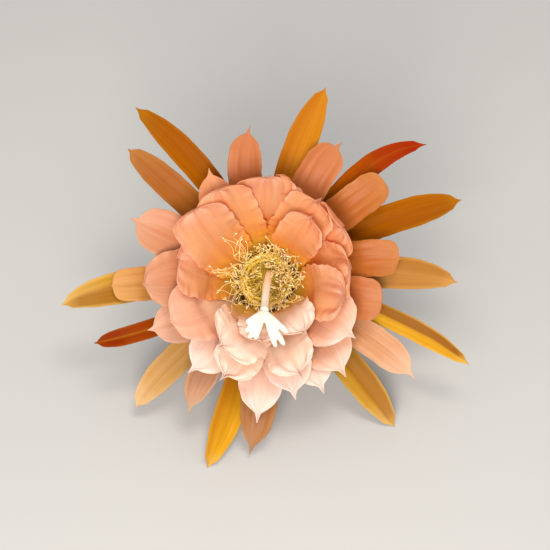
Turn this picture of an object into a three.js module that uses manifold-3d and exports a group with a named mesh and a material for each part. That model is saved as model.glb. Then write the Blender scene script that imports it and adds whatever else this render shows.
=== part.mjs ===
// Orchid cactus bloom (Epiphyllum hybrid), picked and lying on its floral tube with its face tipped up.
// Millimetres, +Z up. The bloom is shaped in its own frame first: u to the right, v up the face and
// w out of the face along the flower's axis. One turned group then lays it on the surface.
import * as THREE from "three";
import { mergeVertices } from "three/addons/utils/BufferGeometryUtils.js";
import Module from "manifold-3d";

const solidKernel = await Module();
solidKernel.setup();
const { Manifold, Mesh } = solidKernel;

// Lie of the bloom
const FACE_TILT_DEG = 45; // the flower's axis above level
const THROAT_PLACE = [0.1, 4.15, 52.3]; // the throat over the middle of the bloom's footprint

// Blades
const BLADE_THICKNESS = 0.8;
const BLADE_GAP = 0.4; // clear air kept between two blades
const ROWS = 9; // facets along a blade
const ROW_CROWDING = 1.6; // above 1 the rows stand closer towards the tip
const COLUMNS = 4; // facets across a blade
const TIP_HALF_WIDTH = 0.45;

// Receptacle: the flared cup on which the tepals stand in a spiral
const CUP_BOTTOM_W = -24;
const CUP_BOTTOM_RADIUS = 7.2;
const CUP_RIM_RADIUS = 12.0;
const CUP_WALL = 1.6;
const ROOT_OFFSET = 1.15; // from the cup's skin to the middle of a blade

// Floral tube and ovary
const TUBE_RADIUS = 5.6;
const OVARY_RADIUS = 8.6;
const OVARY_W = -62;
const TUBE_END_W = -72;
const TUBE_SIDES = 24;
const SCALE_COUNT = 24;

// Throat
const THROAT_FLOOR_W = -14;
const SEAT_GAP = 0.35; // between a part and the one it is seated in
const COLLAR_HEIGHT = 5;
const COLLAR_WALL = 1.3;
const FILAMENT_COUNT = 60;
const FILAMENT_STEPS = 4;
const FILAMENT_RADIUS = 0.42;
const ANTHER_LENGTH = 2.6;
const FILAMENT_CLEARANCE = 1.5; // from the middle of a filament to the middle of a blade
const STYLE_RADIUS = 1.7;
const STIGMA_LOBE_RADIUS = 1.3;

// One kind of tepal: the angle at which it leaves the cup and at which its tip lies (degrees above the
// plane of the face), how far it is rolled up across, how much its sides wave, its root width as a share,
// how soon it widens (below 1 close to the root) and where it is widest, the two numbers that shape its end
// (1 and 1 for a plain point, larger and smaller for a blunt end), how late it turns aside, the share of its
// length taken by the point at its tip, and how straight back it moves when pressed (1 as one stiff strip).
const RAY = {
  leave: 50, lie: -8, roll: 34, ruffle: 0.3, root: 0.42, swell: 1.3, widest: 0.62, fill: 3, blunt: 0.9,
  turn: 1.6, spike: 0.02, stiff: 1,
};
const MIDDLE = {
  leave: 56, lie: -4, roll: 30, ruffle: 0.7, root: 0.5, swell: 1.3, widest: 0.68, fill: 3.6, blunt: 0.6,
  turn: 2, spike: 0.05, stiff: 0.9,
};
const BOWL = {
  leave: 64, lie: 10, roll: 15, ruffle: 1.1, root: 0.42, swell: 0.9, widest: 0.66, fill: 2.6, blunt: 0.75,
  turn: 1.6, spike: 0.07, stiff: 0.5,
};
const CORE = {
  leave: 68, lie: 24, roll: 13, ruffle: 1.2, root: 0.42, swell: 0.62, widest: 0.74, fill: 5, blunt: 0.42,
  turn: 1.6, spike: 0, stiff: 0.5,
};

const RED_ORANGE = "#b8430f";
const GOLD = "#d98d1e";
const GOLD_PEACH = "#e0a050";
const PEACH = "#f0a070";
const PINK_PEACH = "#f2b090";
const PALE = "#f6d3bd";

// Tepals in spiral order from the outermost to the innermost. from and to: azimuth of root and tip, in
// degrees turning from u to v. reach and rise: where the tip stands from the axis and over the throat.
const RAYS = [
  { colour: RED_ORANGE, from: 206, to: 200.2, reach: 81, rise: 4, width: 8.4, fill: 5, blunt: 0.6 },
  { colour: GOLD, from: 111, to: 127.1, reach: 95.5, rise: 4, width: 12.4, turn: 0.9 },
  { colour: RED_ORANGE, from: 50, to: 40.2, reach: 93, rise: 2, width: 10.4, turn: 4.4 },
  { colour: GOLD, from: -13, to: -22.7, reach: 97.5, rise: 3, width: 10, roll: 40 },
  { colour: GOLD, from: 257, to: 252.7, reach: 86.5, rise: 9, width: 13.4, touches: true },
  { colour: GOLD, from: 82, to: 72.7, reach: 89, rise: 5, width: 14.4, turn: 1 },
  { colour: GOLD, from: 180, to: 187, reach: 91, rise: 5, width: 15.4, roll: 50, turn: 2.4 },
  { colour: GOLD, from: 34, to: 22.3, reach: 93.5, rise: 3, width: 13.8, turn: 0.9, fill: 4 },
  { colour: GOLD, from: -44, to: -48.9, reach: 87.5, rise: -7.9, width: 14.2, touches: true },
  { colour: GOLD_PEACH, from: 134, to: 136.5, reach: 84, rise: 6, width: 13.2, blunt: 0.65 },
  { colour: GOLD_PEACH, from: 5, to: -0.8, reach: 84.5, rise: 4, width: 14.6, turn: 3 },
  { colour: GOLD_PEACH, from: 221, to: 224.3, reach: 81.5, rise: -5, width: 13.8, turn: 4, blunt: 0.8 },
];
const MIDDLES = [
  {
    colour: GOLD_PEACH, from: 181, to: 182.2, reach: 68, rise: 10, width: 15, fill: 6, blunt: 0.35,
    spike: 0.01,
  },
  { colour: PEACH, from: 104, to: 95.8, reach: 68, rise: 10, width: 15.2, turn: 3 },
  { colour: PINK_PEACH, from: -28, to: -33.6, reach: 79, rise: 6, width: 14.6, turn: 3, blunt: 0.75 },
  { colour: PEACH, from: 43, to: 39.8, reach: 67.5, rise: 12, width: 16.6, fill: 6, blunt: 0.35, spike: 0 },
  { colour: PINK_PEACH, from: -91, to: -95.4, reach: 77, rise: 8, width: 16, fill: 2.6, blunt: 0.85 },
  { colour: PEACH, from: 124, to: 117, reach: 54.5, rise: 20, width: 17.5, fill: 2.6, blunt: 0.7, turn: 3 },
  {
    colour: PINK_PEACH, from: 234, to: 240, reach: 68, rise: 12, width: 13.6, turn: 3, fill: 2.6, blunt: 0.9,
  },
  { colour: PEACH, from: 66, to: 61, reach: 69, rise: 12, width: 16.6, fill: 5, blunt: 0.45, turn: 4 },
  {
    colour: PEACH, from: 14.5, to: 8.8, reach: 60, rise: 14, width: 16.4, fill: 6, blunt: 0.35,
    spike: 0.02, turn: 3,
  },
  { colour: PINK_PEACH, from: 155, to: 155.4, reach: 65, rise: 16, width: 20.5, fill: 3.4, blunt: 0.6 },
  { colour: PEACH, from: -13, to: -10, reach: 51.5, rise: 16, width: 19.5, fill: 6, blunt: 0.4, spike: 0 },
  { colour: PINK_PEACH, from: 208, to: 203, reach: 56, rise: 17, width: 20, fill: 3, blunt: 0.7 },
];
const BOWLS = [
  { colour: PINK_PEACH, from: 176, to: 182, reach: 53.5, rise: 22, width: 26, blunt: 0.5, spike: 0.02 },
  { colour: PALE, from: -92, to: -93.6, reach: 62.5, rise: 15, width: 19.5 },
  { colour: PALE, from: -59, to: -62.8, reach: 55.5, rise: 20, width: 20 },
  { colour: PINK_PEACH, from: -45, to: -50.5, reach: 54.5, rise: 22, width: 23, turn: 2.4 },
  { colour: PALE, from: -75, to: -76, reach: 53.5, rise: 22, width: 21 },
  { colour: PALE, from: 234, to: 230, reach: 52.5, rise: 23, width: 21, turn: 3, blunt: 0.6 },
  { colour: PALE, from: 204, to: 203, reach: 45, rise: 30, width: 28, blunt: 0.45, spike: 0.02 },
  { colour: PINK_PEACH, from: -28, to: -33, reach: 46, rise: 29, width: 27, blunt: 0.5 },
];
const CORES = [
  { colour: PEACH, from: 82, to: 84, reach: 41, rise: 31, width: 25 },
  {
    colour: PALE, from: -74, to: -69.5, reach: 44.5, rise: 31, width: 21, fill: 3, blunt: 0.6,
    spike: 0.05, turn: 3,
  },
  {
    colour: PALE, from: 254, to: 245.5, reach: 47, rise: 30, width: 21, fill: 3, blunt: 0.65,
    spike: 0.06, turn: 3,
  },
  { colour: PINK_PEACH, from: 174, to: 167, reach: 37, rise: 31, width: 26, lie: 34 },
  { colour: PINK_PEACH, from: 92, to: 89, reach: 43.5, rise: 34, width: 26 },
  { colour: PEACH, from: 33, to: 34, reach: 39.5, rise: 33, width: 24 },
  { colour: PEACH, from: 8, to: 7, reach: 36, rise: 34, width: 25 },
  { colour: PEACH, from: 60, to: 56, reach: 42, rise: 34, width: 24, spike: 0.05 },
  { colour: PEACH, from: 120, to: 118, reach: 43.5, rise: 34, width: 26 },
  { colour: PINK_PEACH, from: 147, to: 136, reach: 42.5, rise: 35, width: 26, blunt: 0.3 },
  {
    colour: PALE, from: 252, to: 235, reach: 35.5, rise: 35, width: 27, fill: 3, blunt: 0.5,
    spike: 0.05, turn: 2.4,
  },
  { colour: PINK_PEACH, from: -16, to: -11, reach: 34, rise: 36, width: 24 },
  { colour: PEACH, from: 50, to: 54, reach: 33.5, rise: 37, width: 20, fill: 3, spike: 0.03 },
  {
    colour: PALE, from: -98, to: -93, reach: 27, rise: 30, width: 20, lie: 8, leave: 66, fill: 3,
    spike: 0.03,
  },
  {
    colour: PALE, from: -51, to: -54, reach: 28.5, rise: 32, width: 19, lie: 8, leave: 66, fill: 3,
    blunt: 0.7, spike: 0.03,
  },
];
const TEPALS = [
  ...RAYS.map((spec) => ({ ...RAY, ...spec })),
  ...MIDDLES.map((spec) => ({ ...MIDDLE, ...spec })),
  ...BOWLS.map((spec) => ({ ...BOWL, ...spec })),
  ...CORES.map((spec) => ({ ...CORE, ...spec })),
];

// Where the ends of the stigma lobes stand.
const STIGMA_TIPS = [
  [9.4, -22.2, 41],
  [8, -27.6, 39.4],
  [4.4, -28.4, 38.8],
  [-4.4, -25, 39.2],
  [-7, -24.6, 39.6],
  [-8.4, -21.8, 40.6],
  [-8.2, -18.2, 41.8],
];

const radians = (degrees) => (degrees * Math.PI) / 180;
const mix = (a, b, t) => a + (b - a) * t;
const clamp01 = (x) => Math.min(1, Math.max(0, x));

function cupRadius(w) {
  return mix(CUP_BOTTOM_RADIUS, CUP_RIM_RADIUS, clamp01((w - CUP_BOTTOM_W) / -CUP_BOTTOM_W));
}

// Half the width of a blade at the share s of its length.
function halfWidth(spec, s) {
  const toWidest = clamp01(s / spec.widest);
  const past = clamp01((s - spec.widest) / (1 - spec.spike - spec.widest));
  const low = mix(spec.root, 1, Math.pow(Math.sin((Math.PI / 2) * toWidest), spec.swell));
  const high = Math.pow(1 - Math.pow(past, spec.fill), spec.blunt);
  const point = TIP_HALF_WIDTH + (0.5 * spec.width * (1 - s) * spec.spike) / 0.35;
  return Math.max(point, (s < spec.widest ? low : high) * spec.width * 0.5);
}

// The line of a blade in the half plane through the axis, from its root on the cup to its tip.
function spine(spec, level) {
  const w0 = mix(CUP_BOTTOM_W, -0.6, level);
  const root = new THREE.Vector2(cupRadius(w0) + ROOT_OFFSET, w0);
  const tip = new THREE.Vector2(spec.reach, spec.rise);
  const span = root.distanceTo(tip);
  const leave = radians(spec.leave);
  const lie = radians(spec.lie);
  const pull = new THREE.Vector2(Math.cos(leave), Math.sin(leave)).multiplyScalar(0.36 * span).add(root);
  const lead = new THREE.Vector2(Math.cos(lie), Math.sin(lie)).multiplyScalar(-0.42 * span).add(tip);
  return new THREE.CubicBezierCurve(root, pull, lead, tip);
}

// Middle surface of a blade as rows of points, with the direction across and the one off its upper face.
function bladeGrid(spec, order, rows, columns) {
  const line = spine(spec, order / (TEPALS.length - 1));
  const turnBy = spec.to - spec.from;
  const at = (s) => {
    const p = line.getPointAt(clamp01(s));
    const azimuth = radians(spec.from + turnBy * Math.pow(clamp01(s), spec.turn));
    return new THREE.Vector3(p.x * Math.cos(azimuth), p.x * Math.sin(azimuth), p.y);
  };
  const grid = [];
  for (let i = 0; i <= rows; i++) {
    const s = 1 - Math.pow(1 - i / rows, ROW_CROWDING);
    const centre = at(s);
    const along = at(Math.min(1, s + 0.01)).sub(at(Math.max(0, s - 0.01))).normalize();
    const across = along.clone().cross(new THREE.Vector3(0, 0, 1)).normalize();
    const up = across.clone().cross(along);
    const half = halfWidth(spec, s);
    const wave = (spec.ruffle * clamp01(2 * s) * 2 * half) / spec.width;
    const roll = radians(spec.roll) * mix(1.45, 0.65, s) * mix(0.4, 1, clamp01(3 * s));
    const row = [];
    for (let j = 0; j <= columns; j++) {
      const t = mix(-1, 1, j / columns);
      const x = (half * Math.sin(roll * t)) / roll;
      const ruffle = wave * t * t * Math.sin(9 * s + 2.4 * order + 1.9 * Math.sign(t));
      const y = (half * (1 - Math.cos(roll * t))) / roll + ruffle;
      row.push(centre.clone().addScaledVector(across, x).addScaledVector(up, y));
    }
    grid.push(row);
  }
  return grid;
}

// Unit normals of a grid of points, off the upper face.
function gridNormals(grid) {
  const last = grid.length - 1;
  const side = grid[0].length - 1;
  return grid.map((row, i) =>
    row.map((_, j) => {
      const along = grid[Math.min(last, i + 1)][j].clone().sub(grid[Math.max(0, i - 1)][j]);
      const across = grid[i][Math.min(side, j + 1)].clone().sub(grid[i][Math.max(0, j - 1)]);
      return across.cross(along).normalize();
    }),
  );
}

// The ways in which the points of a blade move back: between their own normals and that of the midline.
function waysBack(normals, stiff) {
  const middle = (normals[0].length - 1) / 2;
  return normals.map((row) => row.map((n) => n.clone().lerp(row[middle], stiff).normalize()));
}

// A grid widened by a margin on its sides and past its tip, as the room that a blade needs round it.
function widened(grid, margin) {
  const out = grid.map((row) => row.map((p) => p.clone()));
  const side = grid[0].length - 1;
  out.forEach((row) => {
    const left = row[0].clone().sub(row[1]).normalize();
    const right = row[side].clone().sub(row[side - 1]).normalize();
    row[0].addScaledVector(left, margin);
    row[side].addScaledVector(right, margin);
  });
  const last = out.length - 1;
  out[last].forEach((p, j) => {
    const ahead = grid[last][j].clone().sub(grid[last - 1][j]).normalize();
    p.addScaledVector(ahead, margin);
  });
  return out;
}

function gridTriangles(grid) {
  const triangles = [];
  for (let i = 0; i + 1 < grid.length; i++) {
    for (let j = 0; j + 1 < grid[i].length; j++) {
      const [a, b] = [grid[i][j], grid[i][j + 1]];
      const [c, d] = [grid[i + 1][j], grid[i + 1][j + 1]];
      triangles.push([a, b, d], [a, d, c]);
    }
  }
  return triangles;
}

// Where the line from a point along a direction meets a triangle, as a signed distance, or null.
function lineHit(origin, direction, [a, b, c]) {
  const e1x = b.x - a.x;
  const e1y = b.y - a.y;
  const e1z = b.z - a.z;
  const e2x = c.x - a.x;
  const e2y = c.y - a.y;
  const e2z = c.z - a.z;
  const px = direction.y * e2z - direction.z * e2y;
  const py = direction.z * e2x - direction.x * e2z;
  const pz = direction.x * e2y - direction.y * e2x;
  const det = e1x * px + e1y * py + e1z * pz;
  if (Math.abs(det) < 1e-9) return null;
  const sx = origin.x - a.x;
  const sy = origin.y - a.y;
  const sz = origin.z - a.z;
  const f = (sx * px + sy * py + sz * pz) / det;
  if (f < 0 || f > 1) return null;
  const qx = sy * e1z - sz * e1y;
  const qy = sz * e1x - sx * e1z;
  const qz = sx * e1y - sy * e1x;
  const g = (direction.x * qx + direction.y * qy + direction.z * qz) / det;
  if (g < 0 || f + g > 1) return null;
  return (e2x * qx + e2y * qy + e2z * qz) / det;
}

const DEEP = 9; // a blade further behind than this belongs to another side of the bloom
const SAMPLES = 3; // test points per facet and way

// How far each point of a grid must move back to lie clear behind the blades already placed.
function pushBack(grid, normals, placed) {
  const rows = grid.length - 1;
  const columns = grid[0].length - 1;
  const push = grid.map((row) => row.map(() => 0));
  const clear = BLADE_THICKNESS + BLADE_GAP;
  for (let a = 0; a <= rows * SAMPLES; a++) {
    for (let b = 0; b <= columns * SAMPLES; b++) {
      const i = Math.min(rows - 1, Math.floor(a / SAMPLES));
      const j = Math.min(columns - 1, Math.floor(b / SAMPLES));
      const f = a / SAMPLES - i;
      const g = b / SAMPLES - j;
      const blend = (m) =>
        m[i][j].clone().multiplyScalar((1 - f) * (1 - g))
          .addScaledVector(m[i][j + 1], (1 - f) * g)
          .addScaledVector(m[i + 1][j], f * (1 - g))
          .addScaledVector(m[i + 1][j + 1], f * g);
      const point = blend(grid);
      const normal = blend(normals).normalize();
      let need = 0;
      for (const other of placed) {
        if (other.sphere.center.distanceTo(point) > other.sphere.radius + DEEP) continue;
        for (const triangle of other.triangles) {
          const d = lineHit(point, normal, triangle);
          if (d === null || d < -DEEP) continue;
          const flat = new THREE.Triangle(...triangle).getNormal(new THREE.Vector3());
          const slant = Math.max(0.35, Math.abs(flat.dot(normal)));
          need = Math.max(need, clear / slant - d);
        }
      }
      if (need <= 0) continue;
      for (const [m, n] of [[i, j], [i + 1, j], [i, j + 1], [i + 1, j + 1]]) {
        push[m][n] = Math.max(push[m][n], need);
      }
    }
  }
  return push;
}

// Spreads a push to its neighbours, so that the blade bends and does not dent.
function eased(push) {
  const rows = push.length - 1;
  const columns = push[0].length - 1;
  let out = push;
  for (let round = 0; round < 3; round++) {
    out = out.map((row, i) =>
      row.map((value, j) => {
        const near = [
          out[Math.max(0, i - 1)][j],
          out[Math.min(rows, i + 1)][j],
          out[i][Math.max(0, j - 1)],
          out[i][Math.min(columns, j + 1)],
        ];
        return Math.max(value, near.reduce((sum, x) => sum + x, 0) / 4);
      }),
    );
  }
  return out;
}

// All blades, placed from the innermost outwards: each one bends back clear of those inside it.
function settledGrids() {
  const grids = new Array(TEPALS.length);
  const placed = [];
  for (let k = TEPALS.length - 1; k >= 0; k--) {
    const grid = bladeGrid(TEPALS[k], k, ROWS, COLUMNS);
    for (let round = 0; round < 4; round++) {
      const normals = gridNormals(grid);
      const push = pushBack(grid, normals, placed);
      if (push.every((row) => row.every((value) => value < 0.01))) break;
      const ways = waysBack(normals, TEPALS[k].stiff);
      eased(push).forEach((row, i) =>
        row.forEach((value, j) => grid[i][j].addScaledVector(ways[i][j], -value)),
      );
    }
    const guard = gridTriangles(widened(grid, 1.2));
    const sphere = new THREE.Sphere().setFromPoints(grid.flat());
    placed.push({ triangles: guard, sphere });
    grids[k] = grid;
  }
  return grids;
}

// Closed body between the two faces of a blade.
function bladeGeometry(grid) {
  const normals = gridNormals(grid);
  const rows = grid.length;
  const columns = grid[0].length;
  const positions = [];
  for (const sign of [1, -1]) {
    grid.forEach((row, i) =>
      row.forEach((p, j) => {
        const q = p.clone().addScaledVector(normals[i][j], (sign * BLADE_THICKNESS) / 2);
        positions.push(q.x, q.y, q.z);
      }),
    );
  }
  const back = rows * columns;
  const id = (i, j) => i * columns + j;
  const faces = [];
  for (let i = 0; i + 1 < rows; i++) {
    for (let j = 0; j + 1 < columns; j++) {
      const [a, b, c, d] = [id(i, j), id(i, j + 1), id(i + 1, j), id(i + 1, j + 1)];
      faces.push(a, b, d, a, d, c);
      faces.push(back + a, back + d, back + b, back + a, back + c, back + d);
    }
  }
  const rim = [];
  for (let j = 0; j < columns; j++) rim.push(id(0, j));
  for (let i = 1; i < rows; i++) rim.push(id(i, columns - 1));
  for (let j = columns - 2; j >= 0; j--) rim.push(id(rows - 1, j));
  for (let i = rows - 2; i > 0; i--) rim.push(id(i, 0));
  rim.forEach((a, n) => {
    const b = rim[(n + 1) % rim.length];
    faces.push(a, back + a, b, b, back + a, back + b);
  });
  const geometry = new THREE.BufferGeometry();
  geometry.setAttribute("position", new THREE.Float32BufferAttribute(positions, 3));
  geometry.setIndex(faces);
  return geometry;
}

function toSolid(geometry) {
  const merged = mergeVertices(geometry, 1e-4);
  return new Manifold(
    new Mesh({
      numProp: 3,
      vertProperties: new Float32Array(merged.attributes.position.array),
      triVerts: new Uint32Array(merged.index.array),
    }),
  );
}

function toGeometry(solid) {
  const mesh = solid.getMesh();
  const geometry = new THREE.BufferGeometry();
  geometry.setAttribute("position", new THREE.Float32BufferAttribute(mesh.vertProperties, 3));
  geometry.setIndex(Array.from(mesh.triVerts));
  return geometry;
}

// Closed tube through points, with a radius at each and rounded shut ends.
function sweptGeometry(points, radii, sides) {
  const positions = [];
  const faces = [];
  let across = new THREE.Vector3(1, 0.13, 0.07);
  points.forEach((p, i) => {
    const next = points[Math.min(points.length - 1, i + 1)];
    const ahead = next.clone().sub(points[Math.max(0, i - 1)]).normalize();
    across = across.clone().addScaledVector(ahead, -across.dot(ahead)).normalize();
    const other = ahead.clone().cross(across);
    for (let k = 0; k < sides; k++) {
      const angle = (2 * Math.PI * k) / sides;
      const q = p.clone()
        .addScaledVector(across, radii[i] * Math.cos(angle))
        .addScaledVector(other, radii[i] * Math.sin(angle));
      positions.push(q.x, q.y, q.z);
    }
  });
  for (let i = 0; i + 1 < points.length; i++) {
    for (let k = 0; k < sides; k++) {
      const a = i * sides + k;
      const b = i * sides + ((k + 1) % sides);
      faces.push(a, b, b + sides, a, b + sides, a + sides);
    }
  }
  const first = positions.length / 3;
  positions.push(...points[0].toArray(), ...points[points.length - 1].toArray());
  const top = (points.length - 1) * sides;
  for (let k = 0; k < sides; k++) {
    const n = (k + 1) % sides;
    faces.push(first, n, k, first + 1, top + k, top + n);
  }
  const geometry = new THREE.BufferGeometry();
  geometry.setAttribute("position", new THREE.Float32BufferAttribute(positions, 3));
  geometry.setIndex(faces);
  return geometry;
}

// Body of revolution about the flower's axis from a closed profile of [radius, w] pairs.
function turned(profile, sides) {
  const positions = [];
  const faces = [];
  const n = profile.length;
  for (let k = 0; k < sides; k++) {
    const angle = (2 * Math.PI * k) / sides;
    profile.forEach(([r, w]) => positions.push(r * Math.cos(angle), r * Math.sin(angle), w));
  }
  for (let k = 0; k < sides; k++) {
    const next = (k + 1) % sides;
    for (let i = 0; i < n; i++) {
      const j = (i + 1) % n;
      const [a, b, c, d] = [k * n + i, k * n + j, next * n + i, next * n + j];
      if (profile[i][0] > 0) faces.push(a, c, b);
      if (profile[j][0] > 0) faces.push(b, c, d);
    }
  }
  const geometry = new THREE.BufferGeometry();
  geometry.setAttribute("position", new THREE.Float32BufferAttribute(positions, 3));
  geometry.setIndex(faces);
  return geometry;
}

// Small repeatable numbers between 0 and 1.
function seeded(seed) {
  let state = seed >>> 0;
  return () => {
    state = (Math.imul(state, 1664525) + 1013904223) >>> 0;
    return state / 4294967296;
  };
}

const TUBE_PROFILE = [
  [0, TUBE_END_W],
  [3.4, TUBE_END_W + 0.4],
  [5.6, TUBE_END_W + 2.2],
  [OVARY_RADIUS - 0.7, OVARY_W - 3.4],
  [OVARY_RADIUS, OVARY_W + 1.4],
  [OVARY_RADIUS - 1.0, OVARY_W + 7.4],
  [TUBE_RADIUS + 0.2, OVARY_W + 13],
  [TUBE_RADIUS, -40],
  [TUBE_RADIUS + 0.1, -32],
  [CUP_BOTTOM_RADIUS - 0.6, CUP_BOTTOM_W - 3],
  [CUP_BOTTOM_RADIUS, CUP_BOTTOM_W],
  [mix(CUP_BOTTOM_RADIUS, CUP_RIM_RADIUS, 0.5), CUP_BOTTOM_W / 2],
  [CUP_RIM_RADIUS, 0],
  [CUP_RIM_RADIUS - 0.7, 0.7],
  [CUP_RIM_RADIUS - CUP_WALL, 0],
  [CUP_RIM_RADIUS - 2.7, -5.4],
  [6.6, -9.5],
  [4.6, THROAT_FLOOR_W + 1],
  [0, THROAT_FLOOR_W],
];

const bloom = new THREE.Group();
bloom.name = "orchid_cactus_bloom";
const lie = new THREE.Group();
lie.rotation.x = radians(90 - FACE_TILT_DEG);
lie.position.fromArray(THROAT_PLACE);
bloom.add(lie);

function addMesh(name, geometry, colour, roughness) {
  const material = new THREE.MeshStandardMaterial({ color: colour, roughness, metalness: 0 });
  const mesh = new THREE.Mesh(geometry, material);
  mesh.name = name;
  lie.add(mesh);
}

function tepalName(k) {
  const two = (n) => String(n).padStart(2, "0");
  if (k < RAYS.length) return "outer_tepal_" + two(k + 1);
  const inward = k - RAYS.length;
  if (inward < MIDDLES.length) return "middle_tepal_" + two(inward + 1);
  return "inner_tepal_" + two(inward + 1 - MIDDLES.length);
}

// What is left of a solid above the surface that the bloom lies on.
function rested(solid) {
  const up = new THREE.Vector3(0, 0, 1).applyEuler(new THREE.Euler(radians(FACE_TILT_DEG - 90), 0, 0));
  return solid.trimByPlane(up.toArray(), -THROAT_PLACE[2]);
}

// A small pointed scale that stands on the tube at a height w, its root sunk in the skin.
function scaleSolid(azimuth, w, length, width, radius) {
  const lean = radians(72);
  const outward = new THREE.Vector3(Math.cos(azimuth), Math.sin(azimuth), 0);
  const across = new THREE.Vector3(-Math.sin(azimuth), Math.cos(azimuth), 0);
  const grid = [];
  for (let i = 0; i <= 3; i++) {
    const s = i / 3;
    const half = Math.max(0.3, 0.5 * width * (1 - Math.pow(s, 2.2)));
    const climb = s * length;
    const centre = outward.clone()
      .multiplyScalar(radius - 0.5 + climb * Math.cos(lean))
      .setZ(w + climb * Math.sin(lean));
    const row = [];
    for (let j = 0; j <= 2; j++) {
      const t = 1 - j;
      const place = centre.clone().addScaledVector(across, half * t);
      row.push(place.addScaledVector(outward, -0.35 * half * t * t));
    }
    grid.push(row);
  }
  return toSolid(bladeGeometry(grid));
}

function tubeRadiusAt(w) {
  const skin = TUBE_PROFILE.slice(0, 11);
  for (let i = 0; i + 1 < skin.length; i++) {
    const [r0, w0] = skin[i];
    const [r1, w1] = skin[i + 1];
    if (w >= w0 && w <= w1) return mix(r0, r1, (w - w0) / (w1 - w0));
  }
  return TUBE_RADIUS;
}

function floralTube() {
  const random = seeded(7);
  const bodies = [toSolid(turned(TUBE_PROFILE, TUBE_SIDES))];
  for (let k = 0; k < SCALE_COUNT; k++) {
    const climb = k / (SCALE_COUNT - 1);
    const w = mix(OVARY_W - 4, -41, climb);
    const azimuth = radians(137.5 * k + 20 * random());
    const under = Math.cos(azimuth - radians(-90)) > 0.6 && w < OVARY_W + 12;
    if (under) continue;
    bodies.push(scaleSolid(azimuth, w, mix(4.5, 9.5, climb), mix(3, 4.4, climb), tubeRadiusAt(w)));
  }
  return toGeometry(rested(Manifold.union(bodies)));
}

// Points along a smooth curve through a few hand-set ones.
function curvePoints(points, count) {
  return new THREE.CatmullRomCurve3(points).getPoints(count);
}

const STYLE_STEM = curvePoints(
  [
    new THREE.Vector3(1, 2, THROAT_FLOOR_W + 1 + SEAT_GAP),
    new THREE.Vector3(1.4, 2.6, 0),
    new THREE.Vector3(0.3, -3.6, 20),
    new THREE.Vector3(-0.6, -13.2, 37),
  ],
  9,
);

// Style with its stigma lobes: it leans down over the lower blades and spreads at its end.
function styleGeometry() {
  const hub = STYLE_STEM[STYLE_STEM.length - 1];
  const stemRadii = STYLE_STEM.map((_, i) => STYLE_RADIUS * (i === STYLE_STEM.length - 1 ? 1.15 : 1));
  const bodies = [toSolid(sweptGeometry(STYLE_STEM, stemRadii, 8))];
  for (const [u, v, w] of STIGMA_TIPS) {
    const tip = new THREE.Vector3(u, v, w);
    const middle = hub.clone().lerp(tip, 0.5).add(new THREE.Vector3(0, 0, 1.6));
    const lobe = curvePoints([hub.clone().lerp(middle, 0.08), middle, tip], 5);
    const radii = lobe.map((_, i) => STIGMA_LOBE_RADIUS * [0.85, 1, 1.05, 1, 0.8, 0.4][i]);
    bodies.push(toSolid(sweptGeometry(lobe, radii, 6)));
  }
  return toGeometry(Manifold.union(bodies));
}

// The path of one filament from the collar, leaning out by a share of the room over the blades. Its last
// two points are the middle and the end of the anther.
function filamentPath(azimuth, lean, height, curl, swing) {
  const foot = cupRadius(-COLLAR_HEIGHT / 2) - CUP_WALL - SEAT_GAP - COLLAR_WALL / 2;
  const at = (r, turn, w) => {
    const a = azimuth + turn;
    return new THREE.Vector3(r * Math.cos(a), r * Math.sin(a), w);
  };
  const path = curvePoints(
    [
      at(foot, 0, -COLLAR_HEIGHT / 2),
      at(foot + 0.2 + 0.12 * lean, 0.1 * curl, height * 0.3),
      at(foot + 0.5 * lean, 0.3 * curl, height * 0.72),
      at(foot + lean, curl, height),
    ],
    FILAMENT_STEPS,
  );
  const end = path[path.length - 1];
  const ahead = end.clone().sub(path[path.length - 2]).normalize();
  const axis = swing.clone().lerp(ahead, 0.5).normalize().multiplyScalar(ANTHER_LENGTH / 2);
  path.push(end.clone().add(axis), end.clone().addScaledVector(axis, 2));
  return path;
}

// Whether a path keeps clear of the blades and of the style.
function isClear(path, blades, stylePoints) {
  const near = new THREE.Vector3();
  const between = (p, i, share) => p.clone().lerp(path[i], share);
  const points = path.slice(1).flatMap((p, i) => [p, between(p, i, 0.33), between(p, i, 0.67)]);
  return points.every((p) => {
    if (stylePoints.some((q) => q.distanceTo(p) < STYLE_RADIUS + 1.6)) return false;
    return blades.every(({ triangles, sphere }) => {
      if (sphere.center.distanceTo(p) > sphere.radius + FILAMENT_CLEARANCE) return true;
      return triangles.every((t) => {
        new THREE.Triangle(...t).closestPointToPoint(p, near);
        return near.distanceTo(p) > FILAMENT_CLEARANCE;
      });
    });
  });
}

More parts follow.
